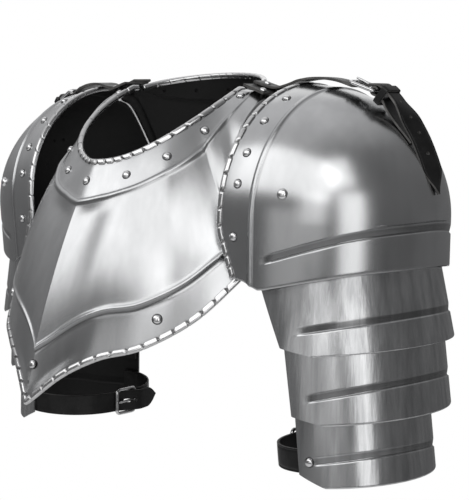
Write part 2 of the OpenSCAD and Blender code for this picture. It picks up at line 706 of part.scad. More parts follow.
chape_seat = leather_t / 2 + 0.35;
chape_pts = [from_buckle([bar_x + 4, -loop_in - leather_t / 2 - 0.3]),
    from_buckle([bar_x + 11, -loop_in - leather_t / 2 - 1.6]), from_buckle([bar_x + 17, -12]),
    dome_under(sx(244), chape_seat), dome_under(sx(250), chape_seat), dome_under(sx(257), chape_seat)];

module buckle_leather() {
    at_buckle() chape([for (p = chape_pts) to_buckle(p)]);
}
// Rivets through the buckle leather
module chape_rivets() {
    for (y = [-6, 6]) {
        p = (chape_pts[4] + chape_pts[5]) / 2;
        v = chape_pts[5] - chape_pts[4];
        strap_plane() translate([p[0], y, p[1]]) rotate([0, atan2(-v[1], v[0]), 0])
            translate([0, 0, leather_t / 2]) rivet(6, leather_t + plate_t + 1);
    }
}

// Strap anchors and shoulder leathers

// Slope of the shoulder, from the neck edge outward
shoulder_slope = atan2(neck_z - shoulder_z, shoulder_half - front_neck(neck_end)[0]);
shoulder_mid = [(front_neck(neck_end)[0] + shoulder_half) / 2, front_end_y + shoulder_gap / 2,
    (neck_z + shoulder_z) / 2];
leather_lift = 3 + ridge_h * 0.5 + 1.4;
shoulder_l = 34;
shoulder_w = 28;
module on_shoulder() {
    translate(shoulder_mid) rotate([0, shoulder_slope, 0]) translate([0, 0, leather_lift]) children();
}
module shoulder_leather() {
    on_shoulder() translate([-shoulder_w / 2, -shoulder_l / 2, 0]) cube([shoulder_w, shoulder_l, leather_t]);
}
module shoulder_rivets() {
    for (y = [-shoulder_l / 2 + 6, shoulder_l / 2 - 6])
        on_shoulder() translate([shoulder_w / 2 - 6, y, leather_t]) rivet(7, leather_t + leather_lift + 1.5);
}

// Height of the shoulder leather's top face, along x
function shoulder_top(x) = shoulder_mid[2] + (leather_lift + leather_t) / cos(shoulder_slope)
    - (x - shoulder_mid[0]) * tan(shoulder_slope);
anchor_seat = (leather_t / 2 + 0.1) / cos(shoulder_slope);
module strap_anchor(right) {
    end = right ? to_level(pivot) : pivot;
    grow = end[0] - pivot[0];
    // Height z, or at least clear of the rivet heads under the strap
    over = function(x, z) max(z, shoulder_top(x) + anchor_seat + 2.4);
    pts = [[sx(86), shoulder_top(86) + anchor_seat], [sx(104), shoulder_top(104) + anchor_seat],
        [sx(113 + grow * 0.4), over(113, end[1] - (right ? 1.4 : 4.4))],
        [sx(120 + grow * 0.7), over(120, end[1] - (right ? 1.4 : 2.6))],
        [sx(end[0]), end[1]], [sx(end[0] + 6), end[1] + (right ? 1.9 : 2.6)]];
    difference() {
        strap_plane() rotate([90, 0, 0]) translate([0, 0, -strap_w / 2]) linear_extrude(strap_w)
            polygon(ribbon(pts, leather_t));
        if (right) level_back() anchor_end();
        else anchor_end();
    }
}
module anchor_end() {
    translate([pivot[0] - clear / 2, 0, -50]) cube([50, 100, 100]);
}
module anchor_rivet() {
    x = 95;
    strap_plane() translate([sx(x), 0, shoulder_top(x) + anchor_seat]) rotate([0, shoulder_slope, 0])
        translate([0, 0, leather_t / 2]) rivet(7, 2 * leather_t + 0.1);
}

// Arm strap, in the level frame

arm_z = edge_z[3] + 24;
arm_seat = plate_t + leather_t / 2 + 0.3;
// Point inside the lowest lame at x, in front (s = -1) or behind (s = 1)
function arm_in(x, s) =
    let (r = lame_rad(2, arm_z + strap_w / 2) - arm_seat, c = lame_c[2])
    [x, c[1] + s * sqrt(r * r - pow(x - c[0], 2))];
arm_rivet_x = 194;
arm_buckle = [117, 26];
// The buckle's own x runs along +Y here, and its z along -X
function arm_from(p) = [arm_buckle[0] - p[1], arm_buckle[1] + p[0]];
function arm_to(p) = [p[1] - arm_buckle[1], arm_buckle[0] - p[0]];
arm_pts = [arm_in(arm_rivet_x + 7, -1), arm_in(arm_rivet_x - 6, -1), arm_in(176, -1) + [0, 0.4],
    [158, -45], [140, -34], [127, -17], [121.5, 0], arm_from([-bar_x, -under_bar]),
    arm_from([-bar_x + 3, -under_bar]), arm_from([bar_x, over_bar]), arm_from([bar_x + 6, over_bar - 0.4]),
    [115, 60], [121, 74]];
arm_chape_pts = [[120.6, 47], [124, 58], [131, 71], [143, 84], [159, 95], arm_in(177, 1) - [0, 0.4],
    arm_in(arm_rivet_x - 6, 1), arm_in(arm_rivet_x + 7, 1)];

module at_arm_buckle() {
    translate([arm_buckle[0], arm_buckle[1], arm_z]) rotate([0, 0, 90]) rotate([-90, 0, 0]) children();
}
module arm_strap() {
    difference() {
        translate([0, 0, arm_z - strap_w / 2]) linear_extrude(strap_w) polygon(ribbon(arm_pts, leather_t));
        at_arm_buckle() prong_slot();
    }
}
module arm_rivets() {
    for (s = [-1, 1]) {
        c = lame_c[2];
        r = lame_rad(2, arm_z);
        a = s * acos((arm_rivet_x - c[0]) / r);
        translate([c[0], c[1], arm_z]) rotate([0, 0, a]) rotate([0, 90, 0]) translate([0, 0, r + 0.05])
            rivet(rivet_d, plate_t + leather_t + 1);
    }
}

// Nodes

module front_plate() { color(steel) gorget_plate(true, rib_shares(13, 8)); }
module back_plate() { color(steel) gorget_plate(false, rib_shares(8, 5)); }
module front_neck_rivets() {
    color(bright) {
        for (side = [-1, 1]) for (u = neck_rivet_u)
            plate_rivet(true, u, neck_band * at(front_band, u) * 0.54, side);
        plate_rivet(true, 0, neck_band * 0.52, 1);
    }
}
module front_border_rivets() {
    color(bright) {
        for (side = [-1, 1]) plate_rivet(true, border_rivet_u, rib_l(border_rivet_u) - border_rivet_d, side);
        plate_rivet(true, 0, rib_l(0) - tip_rivet_d, 1);
    }
}
module back_rivets() {
    color(bright) for (side = [-1, 1]) for (u = back_rivet_u)
        plate_rivet(false, u, neck_band * at(back_band, u) * 0.5, side);
}
module left_shoulder_leather() { color(black) shoulder_leather(); }
module right_shoulder_leather() { color(black) mirror([1, 0, 0]) shoulder_leather(); }
module left_shoulder_rivets() { color(bright) { shoulder_rivets(); anchor_rivet(); } }
module right_shoulder_rivets() { color(bright) mirror([1, 0, 0]) { shoulder_rivets(); anchor_rivet(); } }
module left_strap_anchor() { color(black) strap_anchor(false); }
module right_strap_anchor() { color(black) mirror([1, 0, 0]) strap_anchor(true); }

module left_dome() { color(steel) dome(); }
module left_dome_rivets() { color(bright) { dome_rivets(); chape_rivets(); } }
module left_dome_leathers() { color(black) left_tilt() dome_leathers(); }
module left_strap() { color(black) strap(); }
module left_strap_keeper() { color(black) strap_keeper(); }
module left_buckle_leather() { color(black) buckle_leather(); }
module left_buckle_frame() { color(bright) at_buckle() buckle_frame(); }
module left_buckle_prong() { color(bright) at_buckle() buckle_prong(); }
module left_lame_1() { color(steel) left_tilt() lame(0); }
module left_lame_2() { color(steel) left_tilt() lame(1); }
module left_lame_3() { color(steel) left_tilt() lame(2); }
module left_lame_1_leathers() { color(black) left_tilt() lame_leathers(0); }
module left_lame_2_leathers() { color(black) left_tilt() lame_leathers(1); }
module left_lame_3_leathers() { color(black) left_tilt() lame_leathers(2); }
module left_lame_1_rivets() { color(bright) left_tilt() lame_rivets(0); }
module left_lame_2_rivets() { color(bright) left_tilt() lame_rivets(1); }
module left_lame_3_rivets() { color(bright) left_tilt() { lame_rivets(2); arm_rivets(); } }
module left_arm_strap() { color(black) left_tilt() arm_strap(); }
module left_arm_strap_chape() {
    color(black) left_tilt() at_arm_buckle() chape([for (p = arm_chape_pts) arm_to(p)]);
}
module left_arm_buckle_frame() { color(bright) left_tilt() at_arm_buckle() buckle_frame(); }
module left_arm_buckle_prong() { color(bright) left_tilt() at_arm_buckle() buckle_prong(); }

module right_dome() { right_side() left_dome(); }
module right_dome_rivets() { right_side() left_dome_rivets(); }
module right_dome_leathers() { right_side() left_dome_leathers(); }
module right_strap() { right_side() left_strap(); }
module right_strap_keeper() { right_side() left_strap_keeper(); }
module right_buckle_leather() { right_side() left_buckle_leather(); }
module right_buckle_frame() { right_side() left_buckle_frame(); }
module right_buckle_prong() { right_side() left_buckle_prong(); }
module right_lame_1() { right_side() left_lame_1(); }
module right_lame_2() { right_side() left_lame_2(); }
module right_lame_3() { right_side() left_lame_3(); }
module right_lame_1_leathers() { right_side() left_lame_1_leathers(); }
module right_lame_2_leathers() { right_side() left_lame_2_leathers(); }
module right_lame_3_leathers() { right_side() left_lame_3_leathers(); }
module right_lame_1_rivets() { right_side() left_lame_1_rivets(); }
module right_lame_2_rivets() { right_side() left_lame_2_rivets(); }
module right_lame_3_rivets() { right_side() left_lame_3_rivets(); }
module right_arm_strap() { right_side() left_arm_strap(); }
module right_arm_strap_chape() { right_side() left_arm_strap_chape(); }
module right_arm_buckle_frame() { right_side() left_arm_buckle_frame(); }
module right_arm_buckle_prong() { right_side() left_arm_buckle_prong(); }

front_plate();
back_plate();
front_neck_rivets();
front_border_rivets();
back_rivets();
left_shoulder_leather();
right_shoulder_leather();
left_shoulder_rivets();
right_shoulder_rivets();
left_strap_anchor();
right_strap_anchor();
left_dome();
left_dome_rivets();
left_dome_leathers();
left_strap();
left_strap_keeper();
left_buckle_leather();
left_buckle_frame();
left_buckle_prong();
left_lame_1();
left_lame_2();
left_lame_3();
left_lame_1_leathers();
left_lame_2_leathers();
left_lame_3_leathers();
left_lame_1_rivets();
left_lame_2_rivets();
left_lame_3_rivets();
left_arm_strap();
left_arm_strap_chape();
left_arm_buckle_frame();
left_arm_buckle_prong();
right_dome();
right_dome_rivets();
right_dome_leathers();
right_strap();
right_strap_keeper();
right_buckle_leather();
right_buckle_frame();
right_buckle_prong();
right_lame_1();
right_lame_2();
right_lame_3();
right_lame_1_leathers();
right_lame_2_leathers();
right_lame_3_leathers();
right_lame_1_rivets();
right_lame_2_rivets();
right_lame_3_rivets();
right_arm_strap();
right_arm_strap_chape();
right_arm_buckle_frame();
right_arm_buckle_prong();
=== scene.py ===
"""Looks of the gorget with pauldrons: polished steel plates, rivets and black leather."""
import bpy
from math import acos, asin, atan2, cos, degrees, pi, radians, sin, sqrt, tan
import numpy as np
from mathutils import Matrix


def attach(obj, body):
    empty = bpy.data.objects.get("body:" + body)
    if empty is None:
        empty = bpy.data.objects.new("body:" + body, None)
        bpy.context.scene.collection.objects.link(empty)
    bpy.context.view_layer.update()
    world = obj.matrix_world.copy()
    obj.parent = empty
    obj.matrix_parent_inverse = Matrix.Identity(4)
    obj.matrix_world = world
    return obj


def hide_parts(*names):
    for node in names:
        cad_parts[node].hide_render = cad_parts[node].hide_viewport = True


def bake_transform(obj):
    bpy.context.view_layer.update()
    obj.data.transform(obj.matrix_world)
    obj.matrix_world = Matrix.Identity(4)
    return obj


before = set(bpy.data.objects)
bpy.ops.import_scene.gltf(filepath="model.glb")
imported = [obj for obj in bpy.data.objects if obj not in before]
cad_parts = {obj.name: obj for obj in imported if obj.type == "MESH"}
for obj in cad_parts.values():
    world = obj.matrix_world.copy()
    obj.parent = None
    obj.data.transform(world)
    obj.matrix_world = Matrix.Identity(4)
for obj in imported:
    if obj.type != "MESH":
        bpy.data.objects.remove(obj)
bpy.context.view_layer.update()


rng = np.random.default_rng(7)

# Sizes of the solids, in millimetres. CORNER is the share of a plate's ribs before its corner.
PLATE_T, ROLL_R = 1.5, 3.2
NECK_HALF, NECK_FRONT, NECK_Z, NECK_DROP, NAPE_BACK, NAPE_RISE = 78.5, 120, 3.5, 71.7, 80, 14
NECK_END, CORNER, NECK_BAND, LOWER_BORDER, SHOULDER_X, SHOULDER_Z = 93.0, 0.62, 38.0, 50.0, 118, -9
DOME_X, DOME_Y, DOME_Z, ARCH_R, BULGE, SKIRT = 140.0, 35.0, -115.0, 124.0, 144.0, 71.5
ARCH_BAND, RIDGE_H, TILT_X, LIFT = 35.0, 2.4, 91, 7.0
STRAP_W, INNER_W, LEATHER_T, WIRE_R, CLEAR = 22.0, 20.0, 2.5, 2.0, 0.3
BUTTON, BUTTON_X = 14, DOME_X + 62.5
EDGE_Z = [DOME_Z - SKIRT - drop for drop in (0, 62, 125.5, 184.5)]
LAP, LAME_R, LAME_FLARE = 14.0, [115.4, 101.4, 79.4], [8.6, 2, 1.2]
LAME_TOP = [z + LAP for z in EDGE_Z[:3]]
LAME_C = [[161.0, 35.0], [170.0, 33.5], [179.5, 26.2]]
LAME_FRONT = [[165, 190], [185, 189], [181, 182]]
LAME_CORNER = [[30, 9], [30, 9], [26, 12]]
# Height of each lame's sunk line above its edge, by the angle round the arm
LAME_LINE = [([-74, -57, -40, -19, 6, 50], [18, 22, 24.5, 26, 25, 22]),
             ([-74, -53, -34, -16, 12, 50], [20, 25, 28.5, 31, 28, 24]),
             ([-73, -53, -32, -11, 25, 50], [21, 24, 26.5, 26, 20, 18])]

# Points, lines and frames


def V(*a):
    return np.array(a, float)


def unit(v):
    return v / np.linalg.norm(v)


def unit_rows(a):
    return a / np.maximum(np.linalg.norm(a, axis=1), 1e-9)[:, None]


def square(a, d):
    """Rows of a without their part along the unit rows d."""
    return a - d * (a * d).sum(1)[:, None]


def points(*p):
    """Points from their coordinates, each a number or an array."""
    return np.stack(np.broadcast_arrays(*p), -1)


def rot(axis, deg):
    return np.array(Matrix.Rotation(radians(deg), 4, axis))


def shift(x, y, z):
    return np.array(Matrix.Translation((x, y, z)))


def move(m, p):
    return np.asarray(p, float) @ m[:3, :3].T + m[:3, 3]


def swing(deg):
    return shift(TILT_X, 0, DOME_Z) @ rot("Y", deg) @ shift(-TILT_X, 0, -DOME_Z)


def fall(d):
    """Degrees about Y that lay the X axis along d, a direction [x, z]."""
    return degrees(atan2(-d[1], d[0]))


def upright(p):
    """Points [x, z] in the plane y = 0."""
    return np.insert(np.asarray(p, float), 1, 0, axis=1)


TILT, LEVEL = swing(-LIFT), swing(LIFT)
NEAR, MIRROR = np.eye(4), np.diag([-1.0, 1, 1, 1])
SIDES = (("left", NEAR), ("right", MIRROR @ LEVEL))


def curve(p, t):
    """Smooth curve through the points p, t from 0 to 1."""
    p = np.asarray(p, float)
    n = len(p) - 1
    f = np.clip(t, 0, 1) * n
    i = np.minimum(np.floor(f).astype(int), n - 1)
    g = (f - i)[..., None]
    b, c = p[i], p[i + 1]
    a = np.where((i > 0)[..., None], p[np.maximum(i - 1, 0)], 2 * b - c)
    d = np.where((i + 2 <= n)[..., None], p[np.minimum(i + 2, n)], 2 * c - b)
    return b + 0.5 * g * (c - a + g * (2 * a - 5 * b + 4 * c - d + g * (3 * (b - c) + d - a)))


def step(e0, e1, x):
    t = np.clip((x - e0) / (e1 - e0), 0, 1)
    return t * t * (3 - 2 * t)


def spans(*parts):
    """Runs of even steps (from, to, count), joined with each meeting point once."""
    return np.concatenate([np.linspace(*p)[:-1] for p in parts[:-1]] + [np.linspace(*parts[-1])])


def arc(r, start, stop, n):
    a = np.radians(np.linspace(start, stop, n))
    return r * points(np.cos(a), np.sin(a))


def rounded(x, y0, y1, r, n):
    """Rounded rectangle, x to either side and from y0 to y1."""
    corners = ((x - r, y1 - r), (-x + r, y1 - r), (-x + r, y0 + r), (x - r, y0 + r))
    return np.concatenate([V(*c) + arc(r, 90 * k, 90 * k + 90, n) for k, c in enumerate(corners)])


def gaps(p):
    return np.linalg.norm(np.diff(p, axis=0), axis=1)


def run(p):
    """Distance along a polyline at each of its points."""
    return np.concatenate([[0], np.cumsum(gaps(p))])


def resample(p, gap):
    """Even steps along a polyline, as shares of the old index."""
    s = run(p)
    n = max(3, int(round(s[-1] / gap)) + 1)
    return np.interp(np.linspace(0, s[-1], n), s, np.arange(len(p)))


def take(a, idx):
    i = np.minimum(idx.astype(int), len(a) - 2)
    g = (idx - i).reshape(-1, *([1] * (a.ndim - 1)))
    return a[i] * (1 - g) + a[i + 1] * g


def smooth_path(pts, gap=1.0):
    """Even points along a polyline with its corners rounded off."""
    p = np.asarray(pts, float)
    for _ in range(2):
        cut = [q for a, c in zip(p[:-1], p[1:]) for q in (a * 0.75 + c * 0.25, a * 0.25 + c * 0.75)]
        p = np.array([p[0], *cut, p[-1]])
    return take(p, resample(p, gap))


def bent_path(pts, gap=1.6, cut=4.0):
    """Even points along a polyline whose corners are rounded over a short length only."""
    p = [V(*q) for q in pts]
    out = [p[0]]
    for a, b, c in zip(p[:-2], p[1:-1], p[2:]):
        a, c = (b + unit(e - b) * min(cut, np.linalg.norm(e - b) / 3) for e in (a, c))
        out += [a * (1 - t) ** 2 + b * 2 * t * (1 - t) + c * t * t for t in (0, 0.25, 0.5, 0.75, 1)]
    out = np.array(out + [p[-1]])
    return take(out, resample(out, gap))


# Meshes


def place(name, data):
    ob = bpy.data.objects.new(name, data)
    bpy.context.scene.collection.objects.link(ob)
    return ob


def shade(me, sharp=38):
    me.shade_smooth()
    me.set_sharp_from_angle(angle=radians(sharp))


def finish_piece(ob, body, node):
    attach(ob, body)
    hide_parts(node)


def turned(f, centre, p):
    """The face f with points p, turned so that it looks away from centre."""
    n = np.cross(p[1] - p[0], p[2] - p[0]) if len(f) == 3 else np.cross(p[2] - p[0], p[3] - p[1])
    return f if np.dot(n, p.mean(0) - centre) >= 0 else f[::-1]


class Build:
    """Points v with their painted shade d, which darkens the colour where shade falls in grooves, cuts and
    creases, and faces f with their material numbers m, of one piece.
    """

    def __init__(self):
        self.v, self.d, self.f, self.m = np.zeros((0, 3)), np.zeros(0), [], []

    def add(self, v, f, mat=0, painted_shade=0.0):
        n, v = len(self.v), np.asarray(v, float).reshape(-1, 3)
        self.v = np.concatenate([self.v, v])
        self.d = np.concatenate([self.d, np.zeros(len(v)) + np.reshape(painted_shade, -1)])
        self.f += [tuple(int(x) + n for x in face) for face in f]
        self.m += list(mat) if np.ndim(mat) else [mat] * len(f)
        return self

    def grid(self, p, mat=0, wrap=False, painted_shade=0.0, caps=None):
        """Rows of points as a sheet, or with wrap as a tube; caps is the material of its ends."""
        n, m = p.shape[:2]
        i, j = np.meshgrid(np.arange(n - 1), np.arange(m if wrap else m - 1), indexing="ij")
        k = (j + 1) % m
        f = np.stack([i * m + j, i * m + k, (i + 1) * m + k, (i + 1) * m + j], -1).reshape(-1, 4)
        first = len(self.v)
        self.add(p, f, mat, painted_shade)
        if caps is not None:
            self.f += [tuple(range(first, first + m))[::-1], tuple(range(len(self.v) - m, len(self.v)))]
            self.m += [caps, caps]
        return self

    def flip(self):
        self.f = [f[::-1] for f in self.f]
        return self

    def weld(self, eps=0.002):
        _, first, inv = np.unique(np.round(self.v / eps).astype(np.int64), axis=0,
                                  return_index=True, return_inverse=True)
        inv = inv.reshape(-1)
        faces = [tuple(dict.fromkeys(int(inv[x]) for x in f)) for f in self.f]
        self.m = [mat for f, mat in zip(faces, self.m) if len(f) > 2]
        self.v, self.d, self.f = self.v[first], self.d[first], [f for f in faces if len(f) > 2]
        return self

    def thicken(self, centre):
        """Turns the sheet into a plate that faces away from centre; its inside is material 1."""
        v, nrm = self.v, np.zeros_like(self.v)
        for size in (3, 4):
            idx = np.array([f for f in self.f if len(f) == size], int).reshape(-1, size)
            a, b, c, d = (v[idx[:, k]] for k in (0, 1, 2, -1))
            n = np.cross(b - a, c - a) if size == 3 else np.cross(c - a, d - b)
            for k in range(size):
                np.add.at(nrm, idx[:, k], n)
        nrm /= np.maximum(np.linalg.norm(nrm, axis=1), 1e-12)[:, None]
        if ((v - centre) * nrm).sum() < 0:
            self.flip()
            nrm = -nrm
        n = len(v)
        edges = dict.fromkeys((a, b) for f in self.f for a, b in zip(f, f[1:] + f[:1]))
        rim = [(b, a, a + n, b + n) for a, b in edges if (b, a) not in edges]
        inside = [tuple(x + n for x in f[::-1]) for f in self.f]
        self.v, self.d = np.concatenate([v, v - nrm * PLATE_T]), np.tile(self.d, 2)
        self.f, self.m = self.f + inside + rim, self.m + [1] * len(inside) + [0] * len(rim)
        return self

    def outward(self):
        """Turns the faces so that the whole has a positive volume."""
        v, total = self.v, 0.0
        for f in self.f:
            for k in range(1, len(f) - 1):
                total += np.dot(v[f[0]], np.cross(v[f[k]], v[f[k + 1]]))
        return self.flip() if total < 0 else self

    def piece(self, name, mats, body=None, node=None, slot=None, m=NEAR, sharp=38):
        me = bpy.data.meshes.new(name)
        faces = self.f if np.linalg.det(m[:3, :3]) > 0 else [f[::-1] for f in self.f]
        me.from_pydata((move(m, self.v) / 1000).tolist(), [], faces)
        for mat in mats:
            me.materials.append(mat)
        # These come before validate, which may drop faces
        me.polygons.foreach_set("material_index", np.array(self.m, np.int32))
        # Painted shade of each point, which the shaders use to darken grooves, cuts and creases
        painted_shade = me.attributes.new("painted_shade", "FLOAT", "POINT")
        painted_shade.data.foreach_set("value", self.d.astype(np.float32))
        me.validate()
        shade(me, sharp)
        ob = place(name, me)
        if body:
            finish_piece(ob, body, node)
        return ob

    def pair(self, name, mats, body, node, slot, at=NEAR):
        """The piece of the left and of the right pauldron, with at inside their frames."""
        for s, m in SIDES:
            self.piece(f"{s}_{name}", mats, f"{body}_{s}", f"{s}_{node}", slot, m @ at)


# Materials


class Nodes:
    """Shader nodes. An input takes a value, or the output of another node."""

    def __init__(self, owner, end):
        owner.use_nodes = True
        self.owner, self.end, self.tree = owner, end, owner.node_tree
        self.tree.nodes.clear()

    def new(self, kind, out=None, inputs=None, **settings):
        node = self.tree.nodes.new("ShaderNode" + kind)
        for k, value in settings.items():
            setattr(node, k, value)
        for k, value in (inputs or {}).items():
            if isinstance(value, bpy.types.NodeSocket):
                self.tree.links.new(value, node.inputs[k])
            else:
                node.inputs[k].default_value = value
        return node if out is None else node.outputs[out]

    def coords(self, scale=(1, 1, 1)):
        where = self.new("TexCoord", "Object")
        return self.new("Mapping", "Vector", {"Vector": where, "Scale": scale})

    def noise(self, scale, detail, rough=0.5, distortion=0.0, grain=(1, 1, 1)):
        return self.new("TexNoise", "Fac", {"Vector": self.coords(grain), "Scale": scale, "Detail": detail,
                                            "Roughness": rough, "Distortion": distortion})

    def ramp(self, fac, *stops):
        node = self.new("ValToRGB", None, {"Fac": fac})
        marks = node.color_ramp.elements
        while len(marks) < len(stops):
            marks.new(0.5)
        for mark, (at, tone) in zip(marks, stops):
            mark.position = at
            mark.color = (*tone, 1) if np.ndim(tone) else (tone, tone, tone, 1)
        return node.outputs["Color"]

    def multiply(self, fac, a, b):
        return self.new("MixRGB", "Color", {"Fac": fac, "Color1": a, "Color2": b}, blend_type="MULTIPLY")

    def with_painted_shade(self, tone, dark):
        """tone, times dark where the points carry painted shade: the darkening of grooves, cuts and creases
        where shade falls.
        """
        return self.multiply(self.new("Attribute", "Fac", attribute_name="painted_shade"), tone, (dark, dark, dark, 1))

    def bump(self, height, strength, distance, normal=None):
        inputs = {"Strength": strength, "Distance": distance, "Height": height}
        if normal is not None:
            inputs["Normal"] = normal
        return self.new("Bump", "Normal", inputs)

    def most(self, a, b):
        return self.new("Math", 0, {0: a, 1: b}, operation="MAXIMUM")

    def done(self, shader):
        self.new(self.end, None, {"Surface": shader})
        return self.owner

    def principled(self, color, rough, normal, metallic=0.0, specular=0.5):
        return self.done(self.new("BsdfPrincipled", "BSDF", {
            "Base Color": color, "Roughness": rough, "Normal": normal,
            "Metallic": metallic, "Specular IOR Level": specular}))


def material(name):
    return Nodes(bpy.data.materials.new(name), "OutputMaterial")


def steel(name, grain, rough, bump, dark=0.56, light=0.66, deep=0.0004):
    """Satin polish with brush marks; grain is their scale along X, Y and Z."""
    n = material(name)
    streak, cloud = n.noise(1.0, 3, 0.6, grain=grain), n.noise(9.0, 3, 0.5, 0.4)
    tone = n.ramp(streak, *((at, (t, t + 0.005, t + 0.012)) for at, t in ((0.3, dark), (0.7, light))))
    tone = n.multiply(0.5, tone, n.ramp(cloud, (0.35, 0.7), (0.62, 1.0)))
    both = n.new("Math", 0, {0: streak, 1: cloud}, operation="ADD")
    fine = n.bump(n.noise(160.0, 2), bump * 0.6, 0.0002)
    # Painted shade darkens the steel down to 0.38 in its grooves and creases
    return n.principled(n.with_painted_shade(tone, 0.38), n.ramp(both, (0.35, rough[0]), (0.75, rough[1])),
                        n.bump(streak, bump, deep, fine), metallic=1.0)


def bright(name, tone, rough):
    n = material(name)
    spots = n.noise(420.0, 3)
    color = n.ramp(spots, (0.3, tone * 0.9), (0.7, (tone, tone, tone * 1.01)))
    # Painted shade darkens the rolls down to 0.1 in their file cuts and seams
    return n.principled(n.with_painted_shade(color, 0.1), n.ramp(spots, (0.35, rough * 0.8), (0.7, rough * 1.3)),
                        n.bump(spots, 0.08, 0.0002), metallic=1.0)


def paint(name):
    n = material(name)
    peel = n.noise(260.0, 4)
    return n.principled(n.ramp(peel, (0.3, 0.005), (0.8, 0.012)), n.ramp(peel, (0.3, 0.5), (0.8, 0.7)),
                        n.bump(peel, 0.15, 0.0003), specular=0.3)


def leather(name, low, high, rough, grain=700.0, deep=0.0004):
    n = material(name)
    cells = n.new("TexVoronoi", "Distance", {"Vector": n.coords(), "Scale": grain},
                  feature="DISTANCE_TO_EDGE")
    wear, crease = n.noise(60.0, 4, 0.6), n.noise(240.0, 3)
    return n.principled(n.ramp(wear, (0.3, low), (0.75, high)),
                        n.ramp(wear, (0.3, rough), (0.75, rough + 0.14)),
                        n.bump(cells, 0.25, deep, n.bump(crease, 0.2, deep)), specular=0.35)


STEEL = steel("plate_steel_polish", (40, 40, 3.0), (0.17, 0.26), 0.05)
STEEL_DOME = steel("dome_steel_polish", (30, 30, 5.0), (0.15, 0.24), 0.05)
STEEL_LAME = steel("lame_steel_brushed", (110, 110, 2.0), (0.12, 0.26), 0.2, 0.44, 0.72, 0.0012)
ROPE = bright("roped_edge_steel", 0.74, 0.2)
RIVET = bright("rivet_polish", 0.78, 0.16)
WIRE = bright("buckle_polish", 0.74, 0.18)
# The second black is a painted shadow round the rivets' feet
BLACK, RIVET_SHADOW_RING = paint("black_inside_paint"), paint("rivet_seat_shadow")
LEATHER = leather("strap_leather_black", 0.004, 0.013, 0.34)
LEATHER_EDGE = leather("strap_leather_edge", (0.04, 0.039, 0.038), (0.17, 0.165, 0.16), 0.55, 1500.0, 0.0002)
LEATHER_IN = leather("inner_leather_black", 0.006, (0.016, 0.015, 0.014), 0.55)
HEADS, LEATHERS = [RIVET, RIVET_SHADOW_RING], [LEATHER, LEATHER_EDGE]

# Rolls with file cuts


def turns_along(path, pitch):
    return np.concatenate([[0], np.cumsum(gaps(path) / (0.5 * (pitch[1:] + pitch[:-1])))])


def rope(b, path, side, out, r, pitch, cut=1.0, phase=0.0, fade=1.0):
    """A roll along path; side points to the plate, out away from its face. The cuts open toward the
    plate, cut is their depth and fade a share that eases them. r and fade may be one for each point."""
    x = turns_along(path, pitch) + phase
    x = (x - np.round(x)) * pitch
    ang = np.radians(np.arange(0, 360, 15))
    ca, sa = np.cos(ang), np.sin(ang)
    # The file cut is a wedge: widest on the plate side of the face, gone at the rim
    toward = np.clip(0.55 + 0.6 * ca, 0, 1) * np.clip(0.35 + 0.9 * sa, 0, 1)
    lean = x[:, None] - 1.2 * ca
    share = np.clip(1 - np.abs(lean) / (0.55 + 1.9 * toward), 0, 1) * np.broadcast_to(fade, len(x))[:, None]
    rad = np.broadcast_to(r, len(x))[:, None] - share * (0.5 + 1.3 * toward) * cut
    # Hammered flat on the outer face
    qa = np.sign(ca) * np.abs(ca) ** 0.75
    qs = np.sign(sa) * np.abs(sa) ** 0.75 * np.where(sa > 0, 0.86, 1.0)
    p = path[:, None] + rad[..., None] * (side[:, None] * qa[:, None] + out[:, None] * qs[:, None])
    # Painted shade: the file cuts are darkened, most on the plate side, and so is the seam where the roll
    # meets the plate
    painted_shade = np.clip(share * 1.6 * (cut > 0), 0, 1) * (0.25 + 0.75 * toward)
    seam = (ca > 0.85) & (sa > -0.1) & (sa < 0.5)
    b.grid(p, 2, wrap=True, painted_shade=np.maximum(painted_shade, 0.5 * seam), caps=2)


# Gorget plates, each half a row of ribs from the keel (share 0) to the shoulder (share 1)


def front_neck(a):
    a = np.asarray(a, float)
    c, s = np.cos(np.radians(a)), np.sin(np.radians(a))
    w = np.maximum(c, 0)
    return points(NECK_HALF * s * (1 + 0.2 * c), -(NECK_FRONT - 5 + 5 * np.exp(-(a / 10) ** 2)) * c,
                  NECK_Z - NECK_DROP * (0.68 * w + 0.32 * w * w))


NECK_X = float(front_neck(NECK_END)[0])
END_Y = float(front_neck(NECK_END)[1]) + 3
BACK_Y = END_Y + 8
FRONT = dict(
    tip=V(0, -203, -290), corner=V(158, -73, -163), end=V(SHOULDER_X, END_Y, SHOULDER_Z), n=13, m=8,
    low=[[0, 0, 0], [0.209, 0.122, 0.228], [0.418, 0.252, 0.376], [0.627, 0.425, 0.465],
         [0.835, 0.704, 0.675], [1, 1, 1]],
    arm=[[0, 0, 0], [0.325, -0.006, 0.182], [0.6, 0.105, 0.383], [0.85, 0.302, 0.591],
         [0.9, 0.52, 0.8], [0.93, 0.76, 0.93], [1, 1, 1]],
    bulge=[[0, 8], [0.25, 13], [0.45, 12], [0.55, 6], [0.62, 1], [0.75, 2], [0.85, 3], [1, 3]],
    band=[[0, 1], [0.15, 1.05], [0.3, 1.05], [0.5, 0.95], [0.7, 0.74], [1, 0.42]],
    border=[[0, 1], [0.12, 0.88], [0.3, 0.78], [0.55, 0.64], [0.7, 0.4], [1, 0.2]])
BACK = dict(
    tip=V(0, 128, -186), corner=V(122, 106, -142), end=V(SHOULDER_X, BACK_Y, SHOULDER_Z), n=8, m=5,
    low=[[0, 0, 0], [0.4, 0.06, 0.12], [0.75, 0.35, 0.4], [1, 1, 1]],
    arm=[[0, 0, 0], [0.1, 0.2, 0.3], [0.3, 0.5, 0.65], [0.7, 0.8, 0.93], [1, 1, 1]],
    bulge=[[0, 16], [0.4, 18], [0.62, 14], [0.8, 8], [1, 3]],
    band=[[0, 0.85], [0.5, 0.8], [0.8, 0.6], [1, 0.42]],
    border=[[0, 0.5], [0.6, 0.5], [0.75, 0.3], [1, 0.2]])


